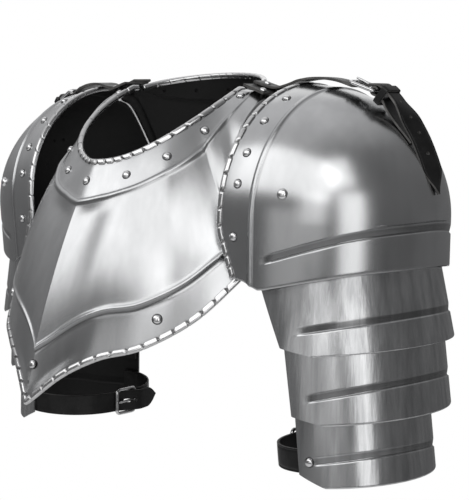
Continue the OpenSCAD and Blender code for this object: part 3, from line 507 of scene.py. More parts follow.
def ends(pl, u):
    """Neck end and outer end of the ribs at the shares u."""
    u = np.asarray(u, float)
    if pl is FRONT:
        neck = front_neck(NECK_END * np.power(np.maximum(u, 0), 0.95))
    else:
        a = np.radians(90 * u)
        neck = points(NECK_HALF * np.sin(a), BACK_Y - 3 + (NAPE_BACK - BACK_Y + 3) * np.cos(a),
                      NECK_Z + NAPE_RISE * np.cos(a))
    low = pl["tip"] + (pl["corner"] - pl["tip"]) * curve(pl["low"], u / CORNER)
    arm = pl["corner"] + (pl["end"] - pl["corner"]) * curve(pl["arm"], (u - CORNER) / (1 - CORNER))
    return neck, np.where((u <= CORNER)[..., None], low, arm)


def rib_out(pl, u, e=0.02):
    """Outward direction of one rib."""
    pn, po = ends(pl, V(max(u - e, 0)))
    qn, qo = ends(pl, V(min(u + e, 1)))
    rn, ro = ends(pl, V(u))
    side = V(1, 0, 0) if u < e else ((qn + qo - pn - po) / 2)[0]
    n = np.cross(side, (ro - rn)[0])
    return unit(-n if pl is FRONT else n)


def out_dirs(pl, u):
    n, m = pl["n"], pl["m"]
    shares = np.concatenate([CORNER * np.arange(n + 1) / n, CORNER + (1 - CORNER) * np.arange(1, m + 1) / m])
    base = np.array([rib_out(pl, x) for x in shares])
    return unit_rows(points(*(np.interp(u, shares, column) for column in base.T)))


def smooth_table(rows, u, width=0.03):
    share, value = np.array(rows, float).T
    return np.mean([np.interp(np.abs(u + x), share, value) for x in np.linspace(-1, 1, 9) * width], axis=0)


# Section of the two ridges: distance across, height as a share, and where painted shade darkens them, in the
# creases and on the flanks where shade falls
NECK_RIDGE = [(-7, 0), (-5, 0.0), (-4, 0.05), (-3.2, 0.3), (-2.4, 0.66), (-1.7, 0.93), (-1.0, 1.04),
              (-0.2, 1.06), (0.6, 1.0), (1.5, 0.86), (2.5, 0.68), (3.6, 0.56), (4.8, 0.5), (6.5, 0.48)]
LOW_RIDGE = [(-7, 0.48), (-5.4, 0.5), (-4.4, 0.56), (-3.4, 0.72), (-2.6, 0.9), (-1.9, 1.04), (-1.2, 1.08),
             (-0.5, 1.0), (0.4, 0.74), (1.4, 0.46), (2.6, 0.22), (4.0, 0.06), (5.4, -0.02), (7, 0)]
NECK_PAINTED_SHADE = [-4.5, -3.2, -2, 0.6, 1.5, 3.6, 5], [0, 0.5, 0, 0, 0.4, 0.4, 0]
LOW_PAINTED_SHADE = [-5, -3.6, -2.6, -0.5, 0.6, 2.8, 4], [0, 0.25, 0, 0, 0.75, 0.75, 0]
ROLL_GAP = 1.2


def plate_grid(pl, u):
    """Outer face of a plate: ribs u by rows, from the neck roll to the roll at the outer edge."""
    neck, outer = ends(pl, u)
    o = out_dirs(pl, u)
    length = np.linalg.norm(outer - neck, axis=1)
    k = np.minimum(1, length / 90)
    deeper = 4.0 * np.maximum(0, 1 - u / 0.13) ** 1.3 if pl is FRONT else 0
    band = NECK_BAND * smooth_table(pl["band"], u) + deeper
    edge = length - LOWER_BORDER * smooth_table(pl["border"], u)
    bulge = smooth_table(pl["bulge"], u, 0.02)
    # Rows of (distance from the neck, height, painted shade); the rows next to the rolls carry painted shade
    # in the crease
    rows = [(ROLL_GAP + (band - 7 * k - ROLL_GAP) * t, 0 * u, 0.35 if t == 0 else 0)
            for t in np.linspace(0, 1, 8)[:-1]]
    rows += [(band + x * k, h * RIDGE_H * k, np.interp(x, *NECK_PAINTED_SHADE)) for x, h in NECK_RIDGE]
    rows += [(band + 6.5 * k + (edge - band - 13.5 * k) * t, 0.48 * RIDGE_H * k, 0)
             for t in np.linspace(0, 1, 22)[1:-1]]
    rows += [(edge + x * k, h * RIDGE_H * k, np.interp(x, *LOW_PAINTED_SHADE)) for x, h in LOW_RIDGE]
    rows += [(edge + 7 * k + (length - edge - 7 * k - ROLL_GAP) * t, 0 * u, 0.35 if t == 1 else 0)
             for t in np.linspace(0, 1, 9)[1:]]
    p = []
    for d, h, _ in rows:
        s = d / length
        q = neck + (outer - neck) * s[:, None] + o * (bulge * 4 * s * (1 - s) + h)[:, None]
        if pl is FRONT:
            # The keel is a sharp line: the faces fall off beside it
            x = np.clip(np.abs(q[:, 0]) / 20, 0, 3)
            q = q - o * (6 * x * (1 - x / 3) ** 2 * step(2, 16, d - band) * step(2, 14, length - d))[:, None]
        p.append(q)
    return np.stack(p, 1), np.stack([dark * k for _, _, dark in rows], 1)


def halves(a, flip=1):
    """Rows that start on the keel, with their mirror image before them."""
    return np.concatenate([(a * flip)[::-1][:-1], a])


def gorget_plate(pl, name, cut_low):
    p, painted_shade = plate_grid(pl, np.concatenate([[0, 0.0015], spans((0, CORNER, 110), (CORNER, 1, 70))[1:]]))
    flip = V(-1, 1, 1)
    b = Build().grid(halves(p, flip), painted_shade=halves(painted_shade)).thicken(V(0, 0, -60))
    # Rolls, from one shoulder end round the keel to the other
    u = np.linspace(0, 1, 700)
    neck, outer = ends(pl, u)
    o = out_dirs(pl, u)
    d = unit_rows(outer - neck)
    for line, side, cut in ((neck, d, 1.0), (outer, -d, cut_low)):
        path = halves(line - o * (PLATE_T / 2), flip)
        idx = resample(path, 0.9)
        path, share = take(path, idx), take(halves(u), idx)
        along = unit_rows(np.gradient(path, axis=0))
        side = unit_rows(square(unit_rows(take(halves(side, flip), idx)), along))
        out = unit_rows(square(square(unit_rows(take(halves(o, flip), idx)), along), side))
        if line is neck:
            pitch, r, fade = 9.0 + 7.5 * step(0.1, 0.5, share), ROLL_R, 1.0
        else:
            pitch = 15.5 + 3 * step(0.55, 0.7, share)
            r = ROLL_R - 0.9 * step(0.6, 0.72, share)
            fade = 1 - 0.45 * step(0.6, 0.7, share)
        # A cut lies on the keel
        phase = 0.5 - turns_along(path, pitch)[len(path) // 2]
        rope(b, path, side, out, r, pitch, cut, phase, fade)
    b.piece(name + "_shell", [STEEL, BLACK, ROPE], "gorget", name, "plate_steel", sharp=22)


gorget_plate(FRONT, "front_plate", 1.0)
gorget_plate(BACK, "back_plate", 0.0)

# Rivets. Each draws two random numbers, so their order stays.


def on(p, n):
    """Frame at p whose Z axis is n."""
    n = unit(n)
    return shift(*p) @ rot("Z", degrees(atan2(n[1], n[0]))) @ rot("Y", degrees(acos(n[2])))


def lathe(profile, seg=28):
    a = np.linspace(0, 2 * np.pi, seg, endpoint=False)
    r, z = np.array(profile, float).T[..., None]
    return points(r * np.cos(a), r * np.sin(a), z)


def rivet(b, m, d=8.0, tall=0.36, deep=2.5):
    """A forged dome head on a black ring of painted shadow round its foot, with its shank below."""
    turn = rot("Z", float(rng.uniform(0, 360)))
    lean = rot("X", float(rng.uniform(-2.5, 2.5)))
    foot = [(0.5 * d, -0.1), (0.5 * d, 0.05 * d), (0.47 * d, 0.11 * d)]
    dome = V(0, 0.11 * d) + V(0.47 * d, (tall - 0.11) * d) * arc(1, 15, 75, 5)
    b.grid(move(m @ turn @ lean, lathe([*foot, *dome, (0.02, tall * d)])), 0, wrap=True)
    # Painted shadow: a black ring just wider than the head, where shade falls round the rivet's foot; the
    # shank is of the same black
    shadow_seat = [(1.5, -deep), (1.5, -0.1), (0.5 * d + 0.1, -0.1), (0.5 * d + 0.55, 0.1), (0.5 * d - 0.3, 0.16)]
    b.grid(move(m, lathe(shadow_seat)), 1, wrap=True)


def rib_at(pl, u, s):
    """Point on rib u at the share s of its length."""
    u = V(max(u, 0.0))
    neck, outer = ends(pl, u)
    bulge = float(smooth_table(pl["bulge"], u, 0.02)[0])
    return neck[0] + (outer[0] - neck[0]) * s + out_dirs(pl, u)[0] * (bulge * 4 * s * (1 - s))


def plate_rivet(b, pl, u, dist, side, d, e=0.01):
    """A rivet on rib u, dist from its neck end, or from its outer end where dist is negative."""
    neck, outer = ends(pl, V(u))
    length = float(np.linalg.norm(outer[0] - neck[0]))
    s = (dist if dist > 0 else length + dist) / length
    across = V(1, 0, 0) if u < e else rib_at(pl, min(u + e, 1), s) - rib_at(pl, u - e, s)
    n = unit(np.cross(rib_at(pl, u, s + e) - rib_at(pl, u, s - e), across))
    if (pl is FRONT and n[1] > 0) or (pl is BACK and n[1] < 0):
        n = -n
    f = V(side, 1, 1)
    rivet(b, on(rib_at(pl, u, s) * f, n * f), d)


def rivet_row(name, node, pl, rows, keel=()):
    """Rivets (rib, distance, size) on both sides, and on the keel."""
    b = Build()
    for side, places in ((-1, rows), (1, [*rows, *keel])):
        for u, dist, d in places:
            plate_rivet(b, pl, u, dist, side, d)
    b.piece(name, HEADS, "gorget", node, "rivet_steel")


def in_band(pl, shares, part):
    return [(u, NECK_BAND * float(np.interp(u, *np.array(pl["band"]).T)) * part, 8.0) for u in shares]


rivet_row("front_neck_rivet_heads", "front_neck_rivets", FRONT,
          in_band(FRONT, (0.245, 0.455, 0.67, 0.925), 0.54), in_band(FRONT, (0,), 0.52))
rivet_row("front_border_rivet_heads", "front_border_rivets", FRONT, [(0.413, -17.9, 9.0)], [(0, -35, 8.4)])
rivet_row("back_neck_rivet_heads", "back_rivets", BACK, in_band(BACK, (0.15, 0.45, 0.75), 0.5))

# Domes. An ellipse angle a, in degrees, runs from the neck side over the bulge.
RIDGE_A = degrees(asin(ARCH_BAND / BULGE))
LEG_TOP, LEG_LOW = 140.87, 156.5
DOME_MID = V(150, DOME_Y, DOME_Z)
REAR = shift(0, 2 * DOME_Y, 0) @ np.diag([1.0, -1, 1, 1])


def band_height(a):
    """Height of the dome's ridge at ellipse angle a."""
    x = np.radians(a - RIDGE_A) * BULGE
    crest = np.exp(-(np.maximum(np.abs(x) - 0.5, 0) / 1.5) ** 2)
    return RIDGE_H * 0.75 * crest + 0.2 * RIDGE_H * step(-1, 3, x) * step(90, 30, a)


def dome_profile(a):
    """x and radius at ellipse angle a."""
    h, r = band_height(a), np.radians(a)
    return DOME_X + (BULGE + h) * np.sin(r), (ARCH_R + h) * np.cos(r)


def low_height(x):
    """Height of the dome's lower edge at x, with the cut corner beside the arch."""
    t = radians(LIFT)
    level_x = ((x - TILT_X) - SKIRT * sin(t)) / cos(t)
    corner = np.interp(x, [LEG_LOW, 168, 182, 183], [-167, -169, -175.3, -400])
    return np.maximum(DOME_Z + level_x * sin(t) - SKIRT * cos(t), corner)


def sunk(h, low, deep, wide):
    """Height and painted shade of a sunk line, h above a plate's edge: it slopes in down to low, then out at
    once, and the groove is darkened where shade falls in it.
    """
    slope = -deep * np.clip((low + wide - h) / (wide - 1.0), 0, 1) ** 1.1 * step(low - 0.8, low + 1.0, h)
    return slope, 0.8 * step(low + wide - 0.6, low + wide - 2.2, h) * step(low - 0.2, low + 0.8, h)


def dome_sheet():
    a0, a1 = RIDGE_A - 2.4, RIDGE_A + 2.6
    a = spans((0.4, a0, 12), (a0, a1, 17), (a1, 40, 34), (40, 90, 44))
    x, r = dome_profile(a)
    # Painted shade along the ridge's creases and its flank that faces down
    ridge_painted_shade = np.interp(np.radians(a - RIDGE_A) * BULGE, [-3.4, -2.2, -1.2, 1.2, 2.2, 3.6, 5],
                           [0, 0.5, 0, 0, 0.35, 0.35, 0])
    phi = np.radians(np.linspace(0, 180, 145))[:, None]
    upper = points(x, DOME_Y - r * np.cos(phi), DOME_Z + r * np.sin(phi))
    b = Build().grid(upper, painted_shade=ridge_painted_shade + 0 * phi)
    # Skirt, front and rear, in blocks of rows: above the sunk line, through it and below it
    xr = dome_profile(V(a0))[0][0]
    g, k = np.clip((x - LEG_TOP) / (xr - LEG_TOP), 0, 1), step(xr, xr + 6, x)
    lean = cos(radians(LIFT))
    line = 22 + 10.5 * step(160, 296, x)
    for s, rise in ((-1, [0, 4, 7.5, 8.5, 8.5]), (1, [0, 0.5, 3, 5, 8.5])):
        bottom = low_height(np.where(x < xr, LEG_LOW + (xr - LEG_LOW) * g, x))
        bottom = bottom + np.interp(x, [189, 221, 251, 266, 284], rise)
        tall = (DOME_Z - bottom) * lean
        rows, painted_shade = [], []
        for w in spans((0, 0.36, 12), (0.36, 0.6, 19), (0.6, 1, 15)):
            xb = np.interp(52 * w, [0, 12, 52], [LEG_TOP, 141, LEG_LOW])
            xw = np.where(x < xr, xb + (xr - xb) * g, x)
            if w <= 0.36:
                h = tall + (line + 10 - tall) * w / 0.36
            else:
                h = line + 10 - 13 * (w - 0.36) / 0.24 if w <= 0.6 else (line - 3) * (1 - w) / 0.4
            h = tall * (1 - w) * (1 - k) + h * k
            ang = np.degrees(np.arcsin(np.clip((xw - DOME_X) / BULGE, 0, 1)))
            slope, dark = sunk(h, line, 1.6, 8.5)
            radial = slope * step(184, 200, xw) - 0.5 * step(1.6, 0.0, h)
            # Painted shade in the sunk line, and along the ridge
            painted_shade.append(np.maximum(dark * step(184, 192, xw), ridge_painted_shade))
            ell = np.sqrt(np.maximum(0, 1 - ((xw - DOME_X) / BULGE) ** 2))
            ry = np.where(x < xr, (ARCH_R + band_height(ang)) * ell, r) + radial * np.cos(np.radians(ang))
            ry[-1] = 0
            rows.append(points(xw + radial * np.sin(np.radians(ang)), DOME_Y + s * ry, bottom + h / lean))
        b.grid(np.array(rows), painted_shade=np.array(painted_shade))
    b.weld(0.0137)
    b.f = [turned(f, DOME_MID, b.v[list(f)]) for f in b.f]
    return b.thicken(DOME_MID)


DOME = dome_sheet()
# The roped edge of the arch, from the lower front corner over the top to the rear one
ROLL_C = ARCH_R - PLATE_T / 2
leg = points(V(157.2, 141.6, 140.2, 140), DOME_Y - ROLL_C, V(-166.5, -128, -122, -116))
y, z = arc(ROLL_C, 0, 180, 200).T
arch = points(DOME_X, DOME_Y - y, DOME_Z + z)
line = np.concatenate([leg, arch, move(REAR, leg)[::-1]])
line = take(line, resample(line, 0.9))
along = unit_rows(np.gradient(line, axis=0))
away = line - V(0, DOME_Y, DOME_Z)
away[:, 0] = 0
away[:, 2] = np.maximum(away[:, 2], 0)
outs = unit_rows(square(away, along))
sides = np.cross(outs, along)
sides *= np.sign(sides[len(sides) // 2][0])
low = step(-122, -160, line[:, 2])
rope(DOME, line, sides, outs, ROLL_R - 0.35 * low, 16.0 - 6.0 * low)
DOME.pair("dome_shell", [STEEL_DOME, BLACK, ROPE], "pauldron", "dome", "plate_steel")


def dome_rad(x):
    return ARCH_R * sqrt(max(0, 1 - ((x - DOME_X) / BULGE) ** 2))


def on_dome(a, x, drop=0.0):
    """Frame on the front of the dome at x, a degrees up from its widest line."""
    r, a = dome_rad(x), radians(a)
    out = V((x - DOME_X) / BULGE ** 2, -r / ARCH_R ** 2 * cos(a), r / ARCH_R ** 2 * sin(a))
    return on(V(x, DOME_Y - r * cos(a), DOME_Z + r * sin(a) - drop), out)


# The strap lies in an upright plane through the shoulder hinge, with s along it and z up
PIVOT, STRAP_Y, YAW = V(128.5, 9.5), 27, radians(8.8)
STRAP_PLANE = shift(PIVOT[0], STRAP_Y, 0) @ rot("Z", 8.8)
B_TILT, BAR, LOOP_IN = radians(-18), 13.0, WIRE_R + 0.15
UNDER_BAR, OVER_BAR = WIRE_R + LEATHER_T / 2 + 0.2, LOOP_IN + LEATHER_T * 1.5 + 0.8


def sx(x):
    return (x - PIVOT[0]) / cos(YAW)


BUCKLE = V(sx(207), 7.8)
AT_BUCKLE = STRAP_PLANE @ shift(BUCKLE[0], 0, BUCKLE[1]) @ rot("Y", 18)


def from_buckle(x, z, t=B_TILT):
    return BUCKLE + V(x * cos(t) - z * sin(t), x * sin(t) + z * cos(t))


def to_buckle(p):
    return from_buckle(*(p - BUCKLE), t=-B_TILT) - BUCKLE


def dome_under(s, n):
    """Point n above the dome in the strap's plane."""
    x, y = PIVOT[0] + s * cos(YAW), STRAP_Y + s * sin(YAW) - DOME_Y
    z = sqrt(dome_rad(x) ** 2 - y * y)
    return V(s, DOME_Z + z) + n * unit(V((x - DOME_X) / BULGE ** 2, z / ARCH_R ** 2))


b, band_x = Build(), DOME_X + ARCH_BAND * 0.48
for face in (NEAR, REAR):
    for a in (16, 30, 47, 64):
        rivet(b, face @ on_dome(a, band_x))
    rivet(b, face @ on_dome(0, band_x, 14))
    rivet(b, face @ on_dome(BUTTON, BUTTON_X), 10.4, 0.4, 7)
seats = [dome_under(sx(x), LEATHER_T / 2 + 0.35) for x in (244, 250, 257)]
s, z = (seats[1] + seats[2]) / 2
for y in (-6, 6):
    at = STRAP_PLANE @ shift(s, y, z) @ rot("Y", fall(seats[2] - seats[1])) @ shift(0, 0, LEATHER_T / 2)
    rivet(b, at, 6, 0.34, 5)
b.pair("dome_rivet_heads", HEADS, "pauldron", "dome_rivets", "rivet_steel")

# Lames, in the level frame


def lame_rad(k, z):
    return LAME_R[k] - LAME_FLARE[k] + LAME_FLARE[k] * (LAME_TOP[k] - z) / (LAME_TOP[k] - EDGE_Z[k + 1])


def lame_sheet(k):
    (cx, cy), (top, front), (corner, corner_h) = LAME_C[k], LAME_FRONT[k], LAME_CORNER[k]
    z0, z1 = LAME_TOP[k], EDGE_Z[k + 1]
    fit = np.polyfit(*LAME_LINE[k], 2)
    share = spans((0, 0.22, 22), (0.22, 0.78, 110), (0.78, 1, 22))
    rows, painted_shade = [], []
    # w counts the blocks of rows: to the sunk line, through it, to the rim, and over the rim
    for w in [*spans((0, 1, 12), (1, 2, 25), (2, 3, 20)), 3.3, 3.6, 3.8, 4]:
        i, th = int(min(w, 3)), np.radians(np.linspace(-100, 100, len(share)))
        for _ in range(3):
            line = np.polyval(fit, np.clip(np.degrees(th), -80, 50))
            marks = [z0 - z1, line + 9.5, line - 3, 1.2, 0]
            h = marks[i] * (1 - w + i) + marks[i + 1] * (w - i) + 0 * line
            left = np.interp(h, [0, corner_h, z0 - z1], [front + corner, front, top])
            r = lame_rad(k, z1 + h)
            lim = np.arccos(np.clip((left - cx) / r, -0.17, 0.99))
            th = -lim + 2 * lim * share
        slope, dark = sunk(h, line, 1.5, 8.0)
        x, start = cx + r * np.cos(th), front + 13
        r = r + (slope * step(start, start + 12, x) - 0.5 * step(1.2, 0, h))
        # Painted shade in the sunk line's groove
        painted_shade.append(dark * step(start, start + 7, x))
        rows.append(points(cx + r * np.cos(th), cy + r * np.sin(th), z1 + h))
    return Build().grid(np.array(rows), painted_shade=np.array(painted_shade)).thicken(V(cx, cy, (z0 + z1) / 2))


for k in range(3):
    name = f"lame_{k + 1}"
    lame_sheet(k).pair(name + "_shell", [STEEL_LAME, BLACK], name, name, "plate_steel", TILT)

# Leather


def strap(path, across, w, t=LEATHER_T, tip=0.0):
    """A leather strap along path, its width w along across. tip is the length of a pointed end."""
    along = unit_rows(np.gradient(path, axis=0))
    acr = unit_rows(square(np.broadcast_to(across, path.shape), along))
    up = np.cross(along, acr)
    half, s, h = np.full(len(path), w / 2), run(path), t / 2
    if tip:
        half = np.maximum(w / 2 * (1 - (1 - np.clip((s[-1] - s) / tip, 0, 1)) ** 1.7), 0.9)
    # Section (side, distance from the edge, height): cut edge, bevel and pressed line; then the flesh side
    top = [(0, 0.3 * h), (0, h - 0.18), (0.55, h), (1.5, h), (1.9, h - 0.28), (2.3, h), (4.1, h + 0.06)]
    cols = [(-1, *q) for q in top] + [(x, None, h + 0.1) for x in (-0.45, -0.2, 0, 0.2, 0.45)]
    cols += [(1, *q) for q in top[::-1]] + [(1, 0, 0.45 - h), (1, 0.5, -h)]
    cols += [(x, None, -h) for x in (0.4, 0, -0.4)] + [(-1, 0.5, -h), (-1, 0, 0.45 - h)]
    p = []
    for x, off, z in cols:
        wide = x * (half if off is None else np.maximum(half - off, half * (1 - off / 8.5)))
        p.append(path + acr * wide[:, None] + up * z)
    edge = [int(a[1] == 0 and c[1] == 0) for a, c in zip(cols, cols[1:] + cols[:1])]
    return Build().grid(np.stack(p, 1), edge * (len(path) - 1), wrap=True, caps=1).outward()


def cutter(ring, m, deep):
    """A prism on the ring of points, deep to either side."""
    rings = np.stack([ring - V(0, 0, deep), ring + V(0, 0, deep)])
    return Build().grid(move(m, rings), wrap=True, caps=0).outward().piece("cutter", [LEATHER_EDGE])


def drill(m, r, long=0.0):
    """A cutter for a round or long hole along Z."""
    a = np.linspace(0, 2 * np.pi, 32, endpoint=False)
    return cutter(points(r * np.cos(a) + np.sign(np.cos(a)) * long / 2, r * np.sin(a), 0), m, 6)


def prong_slot(m):
    return drill(m @ shift(4.3, 0, 2.7) @ rot("Y", -24), 2.2, 12.5)


def cut_away(ob, cutters):
    for c in cutters:
        mod = ob.modifiers.new("cut", "BOOLEAN")
        mod.operation, mod.solver, mod.object = "DIFFERENCE", "EXACT", c
    dg = bpy.context.evaluated_depsgraph_get()
    me = bpy.data.meshes.new_from_object(ob.evaluated_get(dg))
    ob.modifiers.clear()
    ob.data = me
    for c in cutters:
        bpy.data.objects.remove(c)
    shade(me)


OVER = DOME_Z + ARCH_R - PLATE_T / 2 + ROLL_R + CLEAR + LEATHER_T / 2
TAIL = [V(sx(x), z) for x, z in ((234, 1.0), (246, -13.5), (255, -27), (264, -41.5), (274, -64), (282.5, -89))]
STRAP = [V(sx(134), PIVOT[1] + 2.4), V(sx(DOME_X), OVER + 0.2), V(sx(150), OVER + 1.8), V(sx(165), OVER + 2),
         V(sx(180), OVER), from_buckle(-BAR, -UNDER_BAR), from_buckle(-BAR + 3, -UNDER_BAR),
         from_buckle(BAR, OVER_BAR), from_buckle(BAR + 5, OVER_BAR - 0.9)]
SLOPE = atan2(NECK_Z - SHOULDER_Z, SHOULDER_X - NECK_X)
S_MID = V((NECK_X + SHOULDER_X) / 2, END_Y + 4, (NECK_Z + SHOULDER_Z) / 2)
S_LIFT = 3 + RIDGE_H * 0.5 + 1.4


def on_tab(x):
    """Place on the shoulder leather for the strap's middle, at x."""
    high = (S_LIFT + LEATHER_T) / cos(SLOPE) - (x - S_MID[0]) * tan(SLOPE)
    return V(sx(x), S_MID[2] + high + (LEATHER_T / 2 + 0.1) / cos(SLOPE))


def whole_strap(s, m, base, end, drops):
    """Gorget end and pauldron end in one piece, which bends over the shoulder hinge at end."""
    grow = end[0] - PIVOT[0]
    first = [on_tab(86), on_tab(104), V(sx(113 + grow * 0.4), end[1] - drops[0]),
             V(sx(120 + grow * 0.7), end[1] - drops[1])]
    rest = [V(0, PIVOT[1]), *STRAP, *TAIL]
    path = smooth_path([*move(base @ STRAP_PLANE, upright(first)), *move(m @ STRAP_PLANE, upright(rest))])
    # The loose end twists a little: its front edge sinks toward the dome
    left = run(path)[-1] - run(path)
    twist = np.radians(23) * step(96, 70, left) * step(0, 24, left) * (1 if s == "left" else -1)
    axis = np.broadcast_to((m @ STRAP_PLANE)[:3, 1], path.shape)
    along = unit_rows(np.gradient(path, axis=0))
    axis = axis * np.cos(twist)[:, None] + np.cross(along, axis) * np.sin(twist)[:, None]
    ob = strap(path, axis, STRAP_W, tip=26.0).piece(s + "_strap_leather", LEATHERS)
    cuts = [prong_slot(m @ AT_BUCKLE)]
    for p, q in zip(TAIL[:4], TAIL[1:]):
        g = (p + q) / 2
        cuts.append(drill(m @ STRAP_PLANE @ shift(g[0], 0, g[1]) @ rot("Y", fall(q - p)), 1.7))
    cut_away(ob, cuts)
    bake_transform(ob)
    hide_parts(s + "_strap", s + "_strap_anchor")


whole_strap("left", NEAR, NEAR, PIVOT, (4.4, 2.6))
whole_strap("right", SIDES[1][1], MIRROR, move(LEVEL, (PIVOT[0], STRAP_Y, PIVOT[1]))[::2], (1.4, 1.4))


def band_loop(w, inner_w, low, high, t=2.0):
    """A leather loop round a strap, w long along X."""
    pts = rounded(inner_w / 2 + t / 2, low, high, 2.2, 7)
    nrm = unit_rows((np.roll(pts, -1, 0) - np.roll(pts, 1, 0))[:, ::-1] * V(1, -1))
    a, h = w / 2, t / 2
    sec = [(-a, 0.3), (0.4 - a, h), (-w / 4, h + 0.12), (w / 4, h + 0.12), (a - 0.4, h), (a, 0.3),
           (a, 0.3 - h), (a - 0.3, -h), (0.3 - a, -h), (-a, 0.3 - h)]
    p = np.array([[(x, *(q + n * z)) for x, z in sec] for q, n in zip(pts, nrm)])
    mats = [int(j in (5, 9)) for j in range(len(sec))] * len(p)
    return Build().grid(np.concatenate([p, p[:1]]), mats, wrap=True).weld().outward()


s, z = STRAP[-1] * 0.45 + TAIL[0] * 0.55
keeper = band_loop(7.0, STRAP_W + 0.6, -14.0, LEATHER_T / 2 + 1.3)
keeper.pair("strap_keeper_loop", LEATHERS, "pauldron", "strap_keeper", "black_leather",
            STRAP_PLANE @ shift(s, 0, z) @ rot("Y", fall(TAIL[0] - STRAP[-1])))


def chape(tail, frame_m, name, body, node):
    """Buckle leather: from its tail, in the buckle's frame, up to and round the hinge bar."""
    r = LOOP_IN + LEATHER_T / 2
    path = smooth_path([*tail[::-1], V(BAR + 1.5, -r)])
    path = upright(np.concatenate([path, V(BAR, 0) + arc(r, -90, -318, 26)]))
    slot = V((-8, -2.8, 0), (17.5, -2.8, 0), (17.5, 2.8, 0), (-8, 2.8, 0))
    for s, m in SIDES:
        at = m @ frame_m
        ob = strap(move(at, path), at[:3, 1], STRAP_W).piece(f"{s}_{name}", LEATHERS)
        cut_away(ob, [cutter(slot, at, 20)])
        finish_piece(ob, f"{body}_{s}", f"{s}_{node}")


tail = [V(BAR + 4, -LOOP_IN - 1.55), V(BAR + 11, -LOOP_IN - 2.85), V(BAR + 17, -12), *map(to_buckle, seats)]
chape(tail, AT_BUCKLE, "buckle_chape", "pauldron", "buckle_leather")

# Buckles: a bent wire frame and a prong


def tube(path, r, closed=False, seg=16):
    d = unit_rows(np.roll(path, -1, 0) - np.roll(path, 1, 0) if closed else np.gradient(path, axis=0))
    u = unit_rows(np.cross(d, V(0, 0, 1) if abs(d[:, 2]).max() < 0.9 else V(0, 1, 0)))[:, None]
    w = np.cross(d[:, None], u)
    a = np.linspace(0, 2 * np.pi, seg, endpoint=False)[:, None]
    p = path[:, None] + r[:, None, None] * (u * np.cos(a) + w * np.sin(a))
    if closed:
        return Build().grid(np.concatenate([p, p[:1]]), wrap=True).weld().outward()
    return Build().grid(p, wrap=True, caps=0).outward()


half_w = (STRAP_W + 8) / 2 - 1.6
ring = np.insert(rounded(BAR, -half_w, half_w, 4.0, 9), 2, 0, axis=1)
ring = np.concatenate([ring, ring[:1]])
ring = take(ring, resample(ring, 1.2)[:-1])
FRAME = tube(ring, 1.85 + 0.15 * (np.abs(ring[:, 0]) > BAR - 0.5), closed=True)
hook = upright(V(BAR, 0) + arc(LOOP_IN + 0.55, 205, 500, 30))
shaft = [hook[-1] + V(-0.6, 0, 0.1), V(BAR - 5.0, 0, 1.1), V(0, 0, 2.35),
         V(-BAR - WIRE_R + 1, 0, WIRE_R + 1.85)]
path = np.concatenate([hook, smooth_path(shaft, 0.8)])
s = np.linspace(0, 1, len(path))
PRONG = tube(path, 1.15 + 0.25 * step(0.35, 0.6, s) - 0.45 * step(0.9, 1.0, s))


def buckle(name, body, prong_body, at):
    for s, m in SIDES:
        for b, part, rides, node in ((FRAME, "wire", body, "frame"), (PRONG, "tongue", prong_body, "prong")):
            b.piece(f"{s}_{name}_{part}", [WIRE], f"{rides}_{s}", f"{s}_{name}_{node}", "buckle_steel",
                    m @ at)


buckle("buckle", "pauldron", "strap_prong", AT_BUCKLE)

# Shoulder leathers, which join front and back plate
path = points(0, np.linspace(-17, 17, 35), LEATHER_T / 2)
lie = rot("Y", degrees(SLOPE))
on_shoulder = shift(*S_MID) @ lie @ shift(0, 0, S_LIFT)
tab, heads = strap(path, V(-1, 0, 0), 28.0, 2.4), Build()
for y in (-11, 11):
    rivet(heads, on_shoulder @ shift(8, y, LEATHER_T), 7, 0.34, 8)
s, z = on_tab(95)
rivet(heads, STRAP_PLANE @ shift(s, 0, z) @ lie @ shift(0, 0, LEATHER_T / 2), 7, 0.34, 4.5)
for s, m in (("left", NEAR), ("right", MIRROR)):
    tab.piece(s + "_shoulder_tab", LEATHERS, "gorget", s + "_shoulder_leather", "black_leather",
              m @ on_shoulder)
    heads.piece(s + "_shoulder_rivet_heads", HEADS, "gorget", s + "_shoulder_rivets", "rivet_steel", m)

# Inner leathers that carry the lames, in the level frame. Each hangs in an upright plane through HUB,
# in the direction a of the dome's large rivet, and is a line of (distance, height).
HUB = V(176, 30)
REACH, TRAVEL, SLANT, RIVET_DROP = 20, 15, 8, 7
button = on_dome(BUTTON, BUTTON_X)[:3, 3]
button_level = move(LEVEL, button)
BUTTONS = [V(button_level[0], DOME_Y + s * (DOME_Y - button[1])) - HUB for s in (-1, 1)]
DIRS = [atan2(y, x) for x, y in BUTTONS]


def lame_reach(k, a, z, w):
    """Distance to the lame's inside for the edge of a strip w wide."""
    v = V(*LAME_C[k]) - HUB - V(-sin(a), cos(a)) * (w / 2)
    along, r = v @ V(cos(a), sin(a)), lame_rad(k, z) - PLATE_T
    return along + sqrt(along * along - v @ v + r * r)


def strip_d(k, a):
    top = LAME_TOP[k]
    return min(lame_reach(k, a, z, w) for z in (top, top - 12) for w in (INNER_W, -INNER_W)) - 0.125


def hang_d(k, a):
    return strip_d(k, a) - 1.5 * LEATHER_T - CLEAR


def hang_end(k):
    return LAME_TOP[k] - RIVET_DROP + TRAVEL + 4


def at_hub(a, z=0):
    return shift(HUB[0], HUB[1], z) @ rot("Z", degrees(a))


def hung(name, body, rows):
    b = Build()
    for a, line in zip(DIRS, rows):
        strip = strap(upright(bent_path(line)), V(0, 1, 0), INNER_W - 0.2, 2.3)
        b.add(move(at_hub(a), strip.v), strip.f, strip.m)
    b.pair(name + "_strips", [LEATHER_IN, LEATHER_EDGE], body, name, "black_leather", TILT)


